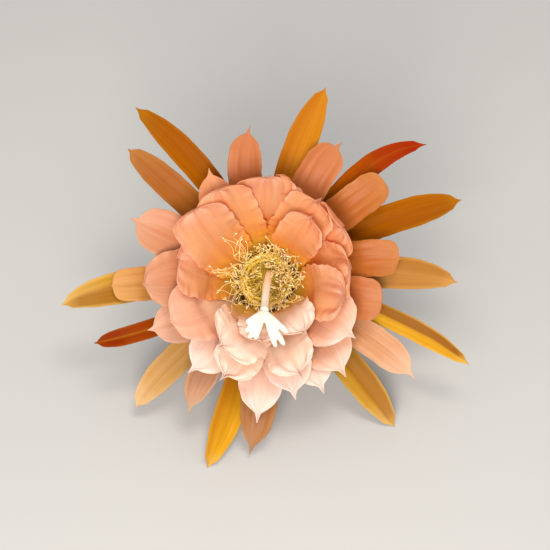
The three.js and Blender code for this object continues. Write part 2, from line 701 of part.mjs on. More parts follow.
// Collar in the throat with all filaments and anthers on it.
function stamensGeometry(grids, stylePoints) {
  const random = seeded(31);
  const blades = grids.slice(-20).map((grid) => ({
    triangles: gridTriangles(grid),
    sphere: new THREE.Sphere().setFromPoints(grid.flat()),
  }));
  const outer = (w) => cupRadius(w) - CUP_WALL - SEAT_GAP;
  const collar = [
    [outer(-COLLAR_HEIGHT) - COLLAR_WALL, -COLLAR_HEIGHT],
    [outer(-COLLAR_HEIGHT), -COLLAR_HEIGHT],
    [outer(-0.4), -0.4],
    [outer(-0.4) - COLLAR_WALL, -0.4],
  ];
  const bodies = [toSolid(turned(collar, 24))];
  for (let k = 0; k < FILAMENT_COUNT; k++) {
    const azimuth = radians(137.5 * k + 14 * random());
    const height = mix(17, 33, random());
    const curl = mix(-0.35, 0.35, random());
    const swing = new THREE.Vector3(mix(-1, 1, random()), mix(-1, 1, random()), 0.4).normalize();
    let lean = mix(0.1, 0.62, random()) * height;
    let path = filamentPath(azimuth, lean, height, curl, swing);
    while (lean > -6 && !isClear(path, blades, stylePoints)) {
      lean -= 1;
      path = filamentPath(azimuth, lean, height, curl, swing);
    }
    if (lean <= -6) continue;
    const radii = path.map(() => FILAMENT_RADIUS);
    radii[radii.length - 2] = 1.7 * FILAMENT_RADIUS;
    bodies.push(toSolid(sweptGeometry(path, radii, 3)));
  }
  return toGeometry(Manifold.union(bodies));
}

const grids = settledGrids();
grids.forEach((grid, k) => {
  const blade = bladeGeometry(grid);
  const geometry = TEPALS[k].touches ? toGeometry(rested(toSolid(blade))) : blade;
  addMesh(tepalName(k), geometry, TEPALS[k].colour, 0.5);
});
addMesh("floral_tube", floralTube(), "#8a8f45", 0.6);
addMesh("style", styleGeometry(), "#f3ead0", 0.45);
addMesh("stamens", stamensGeometry(grids, STYLE_STEM), "#efd995", 0.6);

export default bloom;
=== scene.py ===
"""Orchid cactus bloom: a picked flower with its floral tube, on a pale floor with its face tilted up."""

from __future__ import annotations

import logging
import math
from dataclasses import dataclass, field, replace
from enum import Enum
from typing import Iterable, Sequence

import bpy
import numpy as np
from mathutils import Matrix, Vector
from mathutils.bvhtree import BVHTree


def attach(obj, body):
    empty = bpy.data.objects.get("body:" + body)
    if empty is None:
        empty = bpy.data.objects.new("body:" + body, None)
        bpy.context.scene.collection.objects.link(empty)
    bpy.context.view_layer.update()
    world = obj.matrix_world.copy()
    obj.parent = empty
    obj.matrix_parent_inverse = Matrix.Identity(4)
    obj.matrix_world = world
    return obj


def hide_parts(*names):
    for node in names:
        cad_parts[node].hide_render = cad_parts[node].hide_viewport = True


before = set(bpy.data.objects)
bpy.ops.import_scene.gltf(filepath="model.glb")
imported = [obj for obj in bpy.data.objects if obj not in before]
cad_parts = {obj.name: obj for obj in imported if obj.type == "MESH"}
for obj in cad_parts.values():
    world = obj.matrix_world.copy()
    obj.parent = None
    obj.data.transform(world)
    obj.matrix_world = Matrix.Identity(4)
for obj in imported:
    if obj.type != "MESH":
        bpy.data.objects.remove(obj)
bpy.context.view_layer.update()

Piece = bpy.types.Object
Socket = bpy.types.NodeSocket

LOG = logging.getLogger("bloom")
MM = 0.001
GOLDEN_DEG = 137.5
BLADE_UV = "blade"
HEIGHT_MARK = "height_mark"
TIP_CROWDING = 1.6
MARGIN_WAVES = (5, 9, 15)
PLEATS = (2, 3, 5)
FRILLS = (1.5, 2.6, 4.3)


def linear(code: str) -> tuple[float, float, float, float]:
    """Turns a screen colour into the linear one that shaders take.

    Args:
        code: The colour as "#rrggbb".

    Returns:
        Red, green, blue and an alpha of 1.
    """
    shares = [int(code[i : i + 2], 16) / 255 for i in (1, 3, 5)]
    light = [c / 12.92 if c <= 0.04045 else ((c + 0.055) / 1.055) ** 2.4 for c in shares]
    return (*light, 1.0)


def unit(vectors: np.ndarray) -> np.ndarray:
    """Scales vectors, held along the last axis, to a length of 1."""
    return vectors / np.maximum(np.linalg.norm(vectors, axis=-1, keepdims=True), 1e-12)


def step(value: np.ndarray, low: float, high: float) -> np.ndarray:
    """Rises smoothly from 0 at low to 1 at high."""
    share = np.clip((value - low) / (high - low), 0.0, 1.0)
    return share * share * (3 - 2 * share)


def row_shares(rows: int) -> np.ndarray:
    """Spreads the rows of a blade over its length, closer together towards the tip."""
    return 1 - (1 - np.arange(rows + 1) / rows) ** TIP_CROWDING


class Dice:
    """Small repeatable numbers between 0 and 1, the same as those that set the scales of the solid."""

    def __init__(self, seed: int) -> None:
        """Starts the row of numbers at a seed."""
        self.state = seed & 0xFFFFFFFF

    def roll(self, low: float = 0.0, high: float = 1.0) -> float:
        """Gives the next number between low and high."""
        self.state = (self.state * 1664525 + 1013904223) & 0xFFFFFFFF
        return low + (high - low) * self.state / 4294967296


def smooth_path(points: Sequence[Sequence[float]], count: int) -> np.ndarray:
    """Runs a smooth curve through a few given points.

    Args:
        points: The points that the curve passes through, in millimetres.
        count: How many stretches the curve is cut into.

    Returns:
        The count + 1 points of the curve.
    """
    given = np.array(points, float)
    ends = np.vstack([2 * given[0] - given[1], given, 2 * given[-1] - given[-2]])
    made = []
    for at in np.linspace(0, len(given) - 1, count + 1):
        i = min(int(at), len(given) - 2)
        p = ends[i : i + 4]
        gaps = np.maximum(np.linalg.norm(np.diff(p, axis=0), axis=1) ** 0.5, 1e-4)
        knots = np.concatenate([[0.0], np.cumsum(gaps)])
        t = knots[1] + (at - i) * gaps[1]
        row = list(p)
        for spans in (((0, 1), (1, 2), (2, 3)), ((0, 2), (1, 3)), ((1, 2),)):
            row = [
                (row[n] * (knots[high] - t) + row[n + 1] * (t - knots[low])) / (knots[high] - knots[low])
                for n, (low, high) in enumerate(spans)
            ]
        made.append(row[0])
    return np.array(made)


@dataclass(frozen=True)
class BloomFrame:
    """The flower's own axes: u and v across its face and w out of it, in millimetres from the throat."""

    face_tilt_deg: float = 45.0
    throat_mm: tuple[float, float, float] = (0.1, 4.15, 52.3)
    lowest_mm: float = 0.35

    def axes(self) -> np.ndarray:
        """Gives the flower's axes.

        Returns:
            u, v and w as rows, in the row frame.
        """
        lean = math.radians(90 - self.face_tilt_deg)
        c, s = math.cos(lean), math.sin(lean)
        return np.array([[1, 0, 0], [0, c, s], [0, -s, c]], float)

    def place(self, points: np.ndarray, lowest: float | None = None) -> np.ndarray:
        """Carries points of the flower into the row frame and keeps them above the surface it lies on.

        Args:
            points: Points as u, v and w in millimetres along the last axis.
            lowest: The least height in millimetres, or None for that of a blade's middle.

        Returns:
            The points in metres.
        """
        world = points @ self.axes() + np.array(self.throat_mm)
        floor = self.lowest_mm if lowest is None else lowest
        world[..., 2] = np.maximum(world[..., 2], floor)
        return world * MM

    def read(self, piece: Piece) -> np.ndarray:
        """Reads a piece's points back as u, v and w in millimetres."""
        return (Bench.points(piece) / MM - np.array(self.throat_mm)) @ self.axes().T

    def aim(self, direction: Sequence[float]) -> Vector:
        """Turns a direction given as u, v and w into the row frame."""
        return Vector(np.array(direction, float) @ self.axes())


@dataclass(frozen=True)
class Cup:
    """The flared cup on top of the floral tube, which the tepals grow from."""

    bottom_w: float = -24.0
    bottom_radius: float = 7.2
    rim_radius: float = 12.0
    wall: float = 1.6
    root_offset: float = 1.15

    def radius(self, w: float) -> float:
        """Gives the cup's outer radius at a height w."""
        share = min(1.0, max(0.0, (w - self.bottom_w) / -self.bottom_w))
        return self.bottom_radius + (self.rim_radius - self.bottom_radius) * share


FRAME = BloomFrame()
CUP = Cup()


class Bench:
    """Short calls for the operators that every piece needs."""

    @staticmethod
    def clear() -> None:
        """Leaves nothing selected."""
        for thing in bpy.context.selected_objects:
            thing.select_set(False)

    @staticmethod
    def take(*pieces: Piece) -> None:
        """Selects some pieces alone.

        Args:
            *pieces: The pieces, of which the first becomes the active one.
        """
        Bench.clear()
        for piece in pieces:
            piece.select_set(True)
        bpy.context.view_layer.objects.active = pieces[0]

    @staticmethod
    def finish(piece: Piece, kind: str, **settings: object) -> None:
        """Adds a modifier and applies it.

        Args:
            piece: The piece that gets the modifier.
            kind: The modifier's type.
            **settings: Its settings by name.
        """
        Bench.take(piece)
        modifier = piece.modifiers.new(kind.title(), kind)
        for name, value in settings.items():
            setattr(modifier, name, value)
        bpy.ops.object.modifier_apply(modifier=modifier.name)

    @staticmethod
    def copy(piece: Piece, name: str) -> Piece:
        """Copies a piece with a mesh of its own.

        Args:
            piece: The piece to copy.
            name: The name of the copy.

        Returns:
            The copy.
        """
        made = piece.copy()
        made.data = piece.data.copy()
        made.name = made.data.name = name
        bpy.context.collection.objects.link(made)
        return made

    @staticmethod
    def join(pieces: Sequence[Piece], name: str) -> Piece:
        """Joins several pieces into the first.

        Args:
            pieces: The pieces to join.
            name: The name of the whole.

        Returns:
            The whole.
        """
        Bench.take(*pieces)
        bpy.ops.object.join()
        made = pieces[0]
        made.name = made.data.name = name
        return made

    @staticmethod
    def discard(piece: Piece) -> None:
        """Removes a pattern that was only there to be copied.

        Args:
            piece: The pattern.
        """
        mesh = piece.data
        bpy.data.objects.remove(piece)
        bpy.data.meshes.remove(mesh)

    @staticmethod
    def outward(piece: Piece, merge: float = 0.00001) -> None:
        """Merges doubles and turns every face outwards.

        Args:
            piece: The closed piece.
            merge: How near two points merge, in metres.
        """
        Bench.take(piece)
        bpy.ops.object.mode_set(mode="EDIT")
        bpy.ops.mesh.select_all(action="SELECT")
        bpy.ops.mesh.remove_doubles(threshold=merge)
        bpy.ops.mesh.normals_make_consistent(inside=False)
        bpy.ops.object.mode_set(mode="OBJECT")

    @staticmethod
    def smooth(piece: Piece, angle_deg: float = 60.0) -> None:
        """Shades a piece smooth and keeps edges sharper than an angle."""
        Bench.take(piece)
        bpy.ops.object.shade_smooth_by_angle(angle=math.radians(angle_deg))

    @staticmethod
    def points(piece: Piece) -> np.ndarray:
        """Reads the places of a piece's vertices.

        Args:
            piece: The piece to read.

        Returns:
            One row of x, y and z in metres for each vertex.
        """
        co = np.empty(len(piece.data.vertices) * 3)
        piece.data.vertices.foreach_get("co", co)
        return co.reshape(-1, 3)

    @staticmethod
    def move(piece: Piece, places: np.ndarray) -> None:
        """Writes the places of a piece's vertices."""
        piece.data.vertices.foreach_set("co", places.astype(np.float64).ravel())
        piece.data.update()

    @staticmethod
    def hand_over(piece: Piece, node: str, slot: str, material: bpy.types.Material) -> None:
        """Gives a finished piece its finish, hides the solid that it stands for and sets it under the root
        body.

        Args:
            piece: The piece.
            node: The solid that it stands for.
            slot: The record's material slot; not used.
            material: Its finish.
        """
        piece.data.materials.clear()
        piece.data.materials.append(material)
        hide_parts(node)
        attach(piece, "root")
        piece.data.validate()
        LOG.info("%s: %d faces", piece.name, len(piece.data.polygons))


class Graph:
    """The node tree of one finish, with short ways to add its nodes."""

    def __init__(self, name: str) -> None:
        """Makes an empty material.

        Args:
            name: Its name.
        """
        self.material = bpy.data.materials.new(name)
        self.material.use_nodes = True
        self.tree = self.material.node_tree
        self.tree.nodes.clear()

    def add(self, kind: str, **settings: object) -> bpy.types.Node:
        """Adds a node.

        Args:
            kind: Its type.
            **settings: Its settings by name.

        Returns:
            The node.
        """
        node = self.tree.nodes.new(kind)
        for name, value in settings.items():
            setattr(node, name, value)
        return node

    def feed(self, socket: Socket, value: object) -> None:
        """Links a socket to another, or sets its number or colour.

        Args:
            socket: The socket that is fed.
            value: The other socket, the number or the colour.
        """
        if isinstance(value, Socket):
            self.tree.links.new(value, socket)
        else:
            socket.default_value = value

    def math(self, operation: str, *values: object) -> Socket:
        """Adds a sum or a comparison.

        Args:
            operation: What is done.
            *values: What it is done to.

        Returns:
            The result.
        """
        node = self.add("ShaderNodeMath", operation=operation)
        for socket, value in zip(node.inputs, values):
            self.feed(socket, value)
        return node.outputs[0]

    def rise(self, value: object, low: float, high: float) -> Socket:
        """Rises smoothly from 0 to 1.

        Args:
            value: What the rise follows.
            low: Where it starts.
            high: Where it ends.

        Returns:
            The share.
        """
        node = self.add("ShaderNodeMapRange", interpolation_type="SMOOTHSTEP")
        for name, given in (("Value", value), ("From Min", low), ("From Max", high)):
            self.feed(node.inputs[name], given)
        return node.outputs["Result"]

    def vector(self, x: object, y: object, z: object = 0.0) -> Socket:
        """Makes a vector.

        Args:
            x: Its first part.
            y: Its second part.
            z: Its third part.

        Returns:
            The vector.
        """
        node = self.add("ShaderNodeCombineXYZ")
        for socket, value in zip(node.inputs, (x, y, z)):
            self.feed(socket, value)
        return node.outputs[0]

    def noise(self, place: Socket, scale: float, detail: float = 2.0) -> Socket:
        """Adds a noise pattern.

        Args:
            place: What the pattern is laid on.
            scale: How many of its waves go into a unit.
            detail: How many finer layers it has.

        Returns:
            The pattern's value, from 0 to 1.
        """
        node = self.add("ShaderNodeTexNoise")
        for name, value in (("Vector", place), ("Scale", scale), ("Detail", detail)):
            self.feed(node.inputs[name], value)
        return node.outputs["Fac"]

    def streaks(self, across: Socket, along: Socket, fine: float, long: float) -> Socket:
        """Adds streaks that run along the piece.

        Args:
            across: The map's first part.
            along: The map's second part.
            fine: How many streaks go across.
            long: How often they change along.

        Returns:
            Their value, from 0 to 1.
        """
        place = self.vector(self.math("MULTIPLY", across, fine), self.math("MULTIPLY", along, long))
        return self.noise(place, 1.0, 2.0)

    def ramp(self, value: Socket, stops: Iterable[tuple[float, str]]) -> Socket:
        """Runs through a row of colours.

        Args:
            value: Where in the row the colour is taken.
            stops: The row, as (place, "#rrggbb").

        Returns:
            The colour.
        """
        node = self.add("ShaderNodeValToRGB")
        node.color_ramp.interpolation = "EASE"
        for n, (place, code) in enumerate(stops):
            marks = node.color_ramp.elements
            mark = marks[n] if n < 2 else marks.new(place)
            mark.position = place
            mark.color = linear(code)
        self.feed(node.inputs[0], value)
        return node.outputs["Color"]

    def stir(self, value: object, cloud: Socket, amount: float) -> Socket:
        """Moves a value up and down with a cloud, by half the amount each way."""
        return self.math("MULTIPLY_ADD", cloud, amount, self.math("SUBTRACT", value, 0.5 * amount))

    def own_place(self) -> Socket:
        """Gives the place on the piece itself, in metres."""
        return self.add("ShaderNodeTexCoord").outputs["Object"]

    def own_map(self) -> tuple[Socket, Socket]:
        """Reads the piece's map.

        Returns:
            Its first part, across or around, and its second part, along.
        """
        parts = self.add("ShaderNodeSeparateXYZ")
        self.feed(parts.inputs[0], self.add("ShaderNodeUVMap", uv_map=BLADE_UV).outputs[0])
        return parts.outputs[0], parts.outputs[1]

    def mix(self, share: object, a: object, b: object, blend: str = "MIX") -> Socket:
        """Mixes two colours.

        Args:
            share: How much of the second one there is.
            a: The first colour.
            b: The second colour.
            blend: The way of mixing.

        Returns:
            The mixed colour.
        """
        node = self.add("ShaderNodeMix", data_type="RGBA", blend_type=blend, clamp_factor=True)
        for n, value in ((0, share), (6, a), (7, b)):
            self.feed(node.inputs[n], linear(value) if isinstance(value, str) else value)
        return node.outputs[2]

    def bump(self, height: object, depth_mm: float, strength: float) -> Socket:
        """Adds a low relief.

        Args:
            height: The pattern of the relief, from 0 to 1.
            depth_mm: How deep it is.
            strength: How strongly it shows.

        Returns:
            The relief's normal.
        """
        node = self.add("ShaderNodeBump")
        for name, value in (("Height", height), ("Distance", depth_mm * MM), ("Strength", strength)):
            self.feed(node.inputs[name], value)
        return node.outputs["Normal"]

    def surface(
        self, colour: object, rough: object, normal: Socket, gloss: float = 0.4, glow: float = 0.0,
        through: object = None,
    ) -> bpy.types.Material:
        """Closes the tree with its shader.

        Args:
            colour: Base colour.
            rough: Roughness.
            normal: The relief's normal.
            gloss: Specular level.
            glow: Share of the light that passes through, as through a thin petal.
            through: Colour of that light.

        Returns:
            The finished material.
        """
        skin = self.add("ShaderNodeBsdfPrincipled")
        looks = {"Base Color": colour, "Roughness": rough, "Normal": normal, "Specular IOR Level": gloss}
        for name, value in looks.items():
            self.feed(skin.inputs[name], value)
        last = skin.outputs[0]
        if glow > 0:
            thin = self.add("ShaderNodeBsdfTranslucent")
            self.feed(thin.inputs["Color"], through)
            self.feed(thin.inputs["Normal"], normal)
            both = self.add("ShaderNodeMixShader")
            for socket, value in zip(both.inputs, (glow, last, thin.outputs[0])):
                self.feed(socket, value)
            last = both.outputs[0]
        self.feed(self.add("ShaderNodeOutputMaterial").inputs["Surface"], last)
        return self.material


@dataclass(frozen=True)
class PetalFinish:
    """The colours of a tepal from root to tip and from midrib to margin, with its veins and its skin.

    Attributes:
        slot: The record's material slot.
        length: Its colours from root to tip.
        stops: Where each of them stands, as a share of the length.
        margin: Its paler margin and tip, partly its own pale edge and partly painted highlight on the rim.
        margin_share: How much of that there is.
        margin_from: Where the margin begins, from 0 at the midrib to 1 at the edge.
        rib: The colour of midrib and veins.
        rib_share: How strongly the midrib shows.
        painted_shade: The colour of painted shade on the half that is turned from the light.
        painted_shade_share: How much of that painted shade there is, below 0 for the half that is turned
            anticlockwise.
        painted_shade_span: Where that half begins and where it is fully tinted.
        back: The colour of its back.
        back_share: How much of that there is.
        veins: How strongly the veins show.
        rough: How rough it is.
        gloss: How strongly it shines.
        glow: The share of the light that passes through.
    """

    slot: str
    length: tuple[str, str, str, str, str]
    stops: tuple[float, float, float, float, float] = (0.0, 0.3, 0.5, 0.75, 0.97)
    margin: str = "#ffe9d6"
    margin_share: float = 0.35
    margin_from: float = 0.72
    rib: str = "#e8854a"
    rib_share: float = 0.15
    painted_shade: str = "#c8500a"
    painted_shade_share: float = 0.0
    painted_shade_span: tuple[float, float] = (-0.15, 0.75)
    back: str = "#e09a62"
    back_share: float = 0.45
    veins: float = 0.12
    rough: float = 0.42
    gloss: float = 0.35
    glow: float = 0.3

    def material(self, name: str) -> bpy.types.Material:
        """Builds the finish as a material.

        Args:
            name: The material's name.

        Returns:
            The material, which reads the blade's own UV map.
        """
        g = Graph(name)
        spread, along = g.own_map()
        behind = g.math("GREATER_THAN", spread, 1.0)
        across = g.math("FRACT", spread)
        side = g.math("MULTIPLY_ADD", across, 2.0, -1.0)
        off = g.math("ABSOLUTE", side)
        local = g.own_place()
        cloud = g.noise(local, 70.0, 3.0)
        colour = g.ramp(g.stir(along, cloud, 0.22), zip(self.stops, self.length))
        strands = g.streaks(across, along, 30.0, 1.6)
        fine = g.streaks(across, along, 90.0, 5.0)
        rib = g.math("SUBTRACT", 1.0, g.rise(off, 0.0, 0.24))
        colour = g.mix(g.math("MULTIPLY", rib, self.rib_share), colour, self.rib)
        streak = g.rise(strands, 0.42, 0.68)
        colour = g.mix(g.math("MULTIPLY", streak, self.veins), colour, self.rib, "MULTIPLY")
        # Painted shade: the half of the tepal that is turned from the light is tinted darker.
        if self.painted_shade_share:
            wavy = g.math("ADD", side, g.math("MULTIPLY_ADD", g.noise(local, 45.0, 1.0), 0.5, -0.25))
            toward = g.math("MULTIPLY", wavy, math.copysign(1.0, self.painted_shade_share))
            painted_shade_half = g.rise(toward, *self.painted_shade_span)
            colour = g.mix(g.math("MULTIPLY", painted_shade_half, abs(self.painted_shade_share)), colour, self.painted_shade)
        # Paler margin and tip: partly the tepal's own pale edge, partly painted highlight where light
        # catches the rim.
        edge = g.rise(g.stir(off, cloud, 0.16), self.margin_from, 1.0)
        edge = g.math("MULTIPLY", edge, g.rise(along, 0.35, 0.85))
        brim = g.rise(g.stir(along, cloud, 0.12), 0.9, 1.0)
        edge = g.math("MAXIMUM", edge, brim)
        colour = g.mix(g.math("MULTIPLY", edge, self.margin_share), colour, self.margin)
        colour = g.mix(g.math("MULTIPLY", behind, self.back_share), colour, self.back)
        height = g.math("ADD", g.math("MULTIPLY", strands, 0.7), g.math("MULTIPLY", fine, 0.3))
        grain = g.noise(local, 2600.0, 1.0)
        normal = g.bump(g.math("MULTIPLY_ADD", grain, 0.12, height), 0.16, 0.55)
        rough = g.math("MULTIPLY_ADD", fine, 0.16, self.rough - 0.08)
        through = g.mix(1.0, colour, "#fff0dc", "MULTIPLY")
        return g.surface(colour, rough, normal, self.gloss, self.glow, through)


class Tone(Enum):
    """The finishes that a tepal can have."""

    # The flank colours of the rays paint shade on the half of a ray that is turned from the light.
    EMBER = PetalFinish(
        "tepal_red_orange", ("#885c04", "#984e00", "#8c4200", "#843200", "#782400"),
        margin="#a05c00", margin_share=0.3, rib="#9c6c04", rib_share=0.4, back="#602000",
        gloss=0.03, glow=0.15,
    )
    SCARLET_TIP = PetalFinish(
        "tepal_red_orange", ("#a0680c", "#a05c04", "#9b4800", "#8e2c00", "#8c1c00"),
        stops=(0.0, 0.4, 0.62, 0.82, 0.97), margin="#a03c00", margin_share=0.35,
        rib="#a05c04", rib_share=0.2, back="#802400", gloss=0.03, glow=0.15,
    )
    DEEP_GOLD = PetalFinish(
        "tepal_gold", ("#b08038", "#b4782c", "#b47018", "#b87414", "#b87418"),
        margin="#bc7818", rib="#a8600c", painted_shade="#a05408", painted_shade_share=-0.5, back="#985410",
        gloss=0.05, glow=0.18,
    )
    # Painted shadow: this ray is darker along its lower length, where the tepals above shade it.
    GOLD = PetalFinish(
        "tepal_gold", ("#a87830", "#a86c14", "#c08814", "#cc9418", "#cc9830"),
        stops=(0.0, 0.45, 0.68, 0.85, 1.0), margin="#d0a03c", rib="#a86c0c", rib_share=0.35,
        painted_shade="#a05c0c", painted_shade_share=0.55, back="#985c14", gloss=0.1, glow=0.2,
    )
    CHANNEL_GOLD = PetalFinish(
        "tepal_gold", ("#a88c38", "#c89c38", "#cc9a20", "#c89018", "#c48c24"),
        margin="#dcb050", margin_share=0.6, rib="#b07808", rib_share=0.3, painted_shade="#7c4400",
        painted_shade_share=-0.85, painted_shade_span=(-0.12, 0.2), back="#985c14", gloss=0.1, glow=0.2,
    )
    BURNT_GOLD = PetalFinish(
        "tepal_gold", ("#845008", "#905000", "#945000", "#985200", "#985808"),
        margin="#a86c08", margin_share=0.5, rib="#803c00", rib_share=0.3, painted_shade="#803c00",
        painted_shade_share=0.35, back="#703400", gloss=0.03, glow=0.2,
    )
    PALE_GOLD = PetalFinish(
        "tepal_gold", ("#a88840", "#b08830", "#b08424", "#b48428", "#c09850"),
        margin="#d4aa58", margin_share=0.6, rib="#a07020", rib_share=0.3, painted_shade="#885010",
        painted_shade_share=-0.65, painted_shade_span=(-0.55, -0.1), back="#845010", gloss=0.08, glow=0.2,
    )
    GOLD_PEACH = PetalFinish(
        "tepal_gold_peach", ("#a88448", "#b48848", "#b48848", "#b88c50", "#c8a474"),
        margin="#d4b080", rib="#a86c30", rib_share=0.3, back="#a07040", gloss=0.1, glow=0.2,
    )
    HONEY = PetalFinish(
        "tepal_gold_peach", ("#a27030", "#ad7330", "#ad7330", "#b17735", "#c18b4f"),
        margin="#cc9658", rib="#a25b1e", rib_share=0.3, back="#9a5f2a", gloss=0.1, glow=0.2,
    )
    BRONZE = PetalFinish(
        "tepal_gold_peach", ("#8e5f20", "#985d20", "#9b5d20", "#9b5a22", "#a46b33"),
        margin="#aa763b", rib="#8b4711", rib_share=0.3, back="#824b1b", gloss=0.06, glow=0.2,
    )
    AMBER = PetalFinish(
        "tepal_gold_peach", ("#c8a470", "#c09450", "#b88444", "#ac7434", "#b07c3c"),
        margin="#c8944c", margin_share=0.5, rib="#b07c3c", painted_shade="#98601c", painted_shade_share=-0.6,
        painted_shade_span=(-0.2, 0.4), back="#8c5420", gloss=0.06, glow=0.2,
    )
    PEACH = PetalFinish(
        "tepal_peach", ("#b17a30", "#ba7233", "#bc6e35", "#bc6d3a", "#c07746"),
        margin="#c48253", margin_share=0.4, rib="#b3571f", back="#aa5d27", gloss=0.25,
    )
    # A lighter copy of the peach tone: painted light on a tepal that lies in the shade of the bowl.
    PEACH_PAINTED_LIGHT = PetalFinish(
        "tepal_peach", ("#c88c40", "#d48c4c", "#d88c50", "#d88c58", "#d8986c"),
        margin="#dca478", margin_share=0.4, rib="#c87038", back="#b46c34", gloss=0.25,
    )
    TAWNY = PetalFinish(
        "tepal_peach", ("#ab7320", "#b46b23", "#b66824", "#b66728", "#ba7031"),
        margin="#be7b3b", margin_share=0.4, rib="#ad5214", back="#a5571a", gloss=0.25,
    )
    ROSE_PEACH = PetalFinish(
        "tepal_pink_peach", ("#bb8f4a", "#c68955", "#c8895b", "#c88a64", "#cb9573"),
        margin="#cf9f7f", margin_share=0.5, rib="#be6734", rib_share=0.2, back="#b8754f", gloss=0.25,
    )
    BLUSH = PetalFinish(
        "tepal_pink_peach", ("#c88838", "#c98048", "#d09068", "#ddaa8a", "#ecd0bf"),
        stops=(0.0, 0.3, 0.5, 0.72, 0.95), margin="#e8c4b0", margin_share=0.5, rib="#c67c4e",
        rib_share=0.2, back="#be7c56", gloss=0.25,
    )
    ROSE_LIGHT = PetalFinish(
        "tepal_pink_peach", ("#c4a25d", "#d09b6a", "#d29b71", "#d29c7c", "#d5a98e"),
        margin="#d9b49d", margin_share=0.5, rib="#c77642", rib_share=0.2, back="#c18562", gloss=0.25,
    )
    ROSE_GOLD = PetalFinish(
        "tepal_pink_peach", ("#b08040", "#c08450", "#c88c5c", "#cc9468", "#d8b090"),
        margin="#dcb896", margin_share=0.5, rib="#b8743c", rib_share=0.2, back="#b07c50", gloss=0.25,
    )
    # A darker copy of the rose peach tone: painted shade on tepals that lie in the shade of others.
    ROSE_PAINTED_SHADE = PetalFinish(
        "tepal_pink_peach", ("#ab8c48", "#b78555", "#b8855b", "#b88764", "#bb9271"),
        margin="#be9c7e", margin_share=0.5, rib="#ae6634", rib_share=0.2, back="#a8724e", gloss=0.25,
    )
    # A still darker copy of the rose peach tone: painted deep shade on a small tepal under others.
    ROSE_DEEP_PAINTED_SHADE = PetalFinish(
        "tepal_pink_peach", ("#996e28", "#a36930", "#a46933", "#a46b39", "#a77342"),
        margin="#aa7b49", margin_share=0.5, rib="#9c501b", rib_share=0.2, back="#965a2c", gloss=0.25,
    )
    PALE = PetalFinish(
        "tepal_pale", ("#d6b366", "#dca67c", "#e6b8a0", "#eccab8", "#ecd8ce"),
        stops=(0.0, 0.3, 0.5, 0.72, 0.94), margin="#efddd4", margin_share=0.5,
        rib="#dca07c", back="#ca9876", gloss=0.2,
    )
    PEACH_RIMMED = PetalFinish(
        "tepal_pale", ("#e8c070", "#f0ccaa", "#efc8a8", "#e6b494", "#dfa88c"),
        stops=(0.0, 0.3, 0.5, 0.72, 0.94), margin="#e6bca4", margin_share=0.4,
        rib="#dca07c", back="#ca9876", gloss=0.2,
    )
    GLOWING_HEART = PetalFinish(
        "tepal_peach", ("#ffe45c", "#ffce5c", "#f8c06e", "#efbc80", "#edbc8c"),
        stops=(0.08, 0.34, 0.5, 0.7, 0.95), margin="#f8d3b5", margin_share=0.5,
        rib="#f59e56", rib_share=0.2, back="#eda665", gloss=0.2, glow=0.6,
    )
    ROSE_HEART = PetalFinish(
        "tepal_pink_peach", ("#ffe45c", "#ffce60", "#f6c074", "#edbd86", "#ebbd94"),
        stops=(0.08, 0.34, 0.5, 0.7, 0.95), margin="#f8d8c1", margin_share=0.5,
        rib="#f5a362", rib_share=0.18, back="#eda771", gloss=0.2, glow=0.6,
    )
    PALE_HEART = PetalFinish(
        "tepal_pale", ("#ffe464", "#fcdc98", "#f8e0bc", "#f6e6d2", "#faeee4"),
        stops=(0.08, 0.3, 0.44, 0.66, 0.92), margin="#f6e7dc", margin_share=0.45,
        rib="#eaaa76", back="#e6ad85", gloss=0.2, glow=0.5,
    )


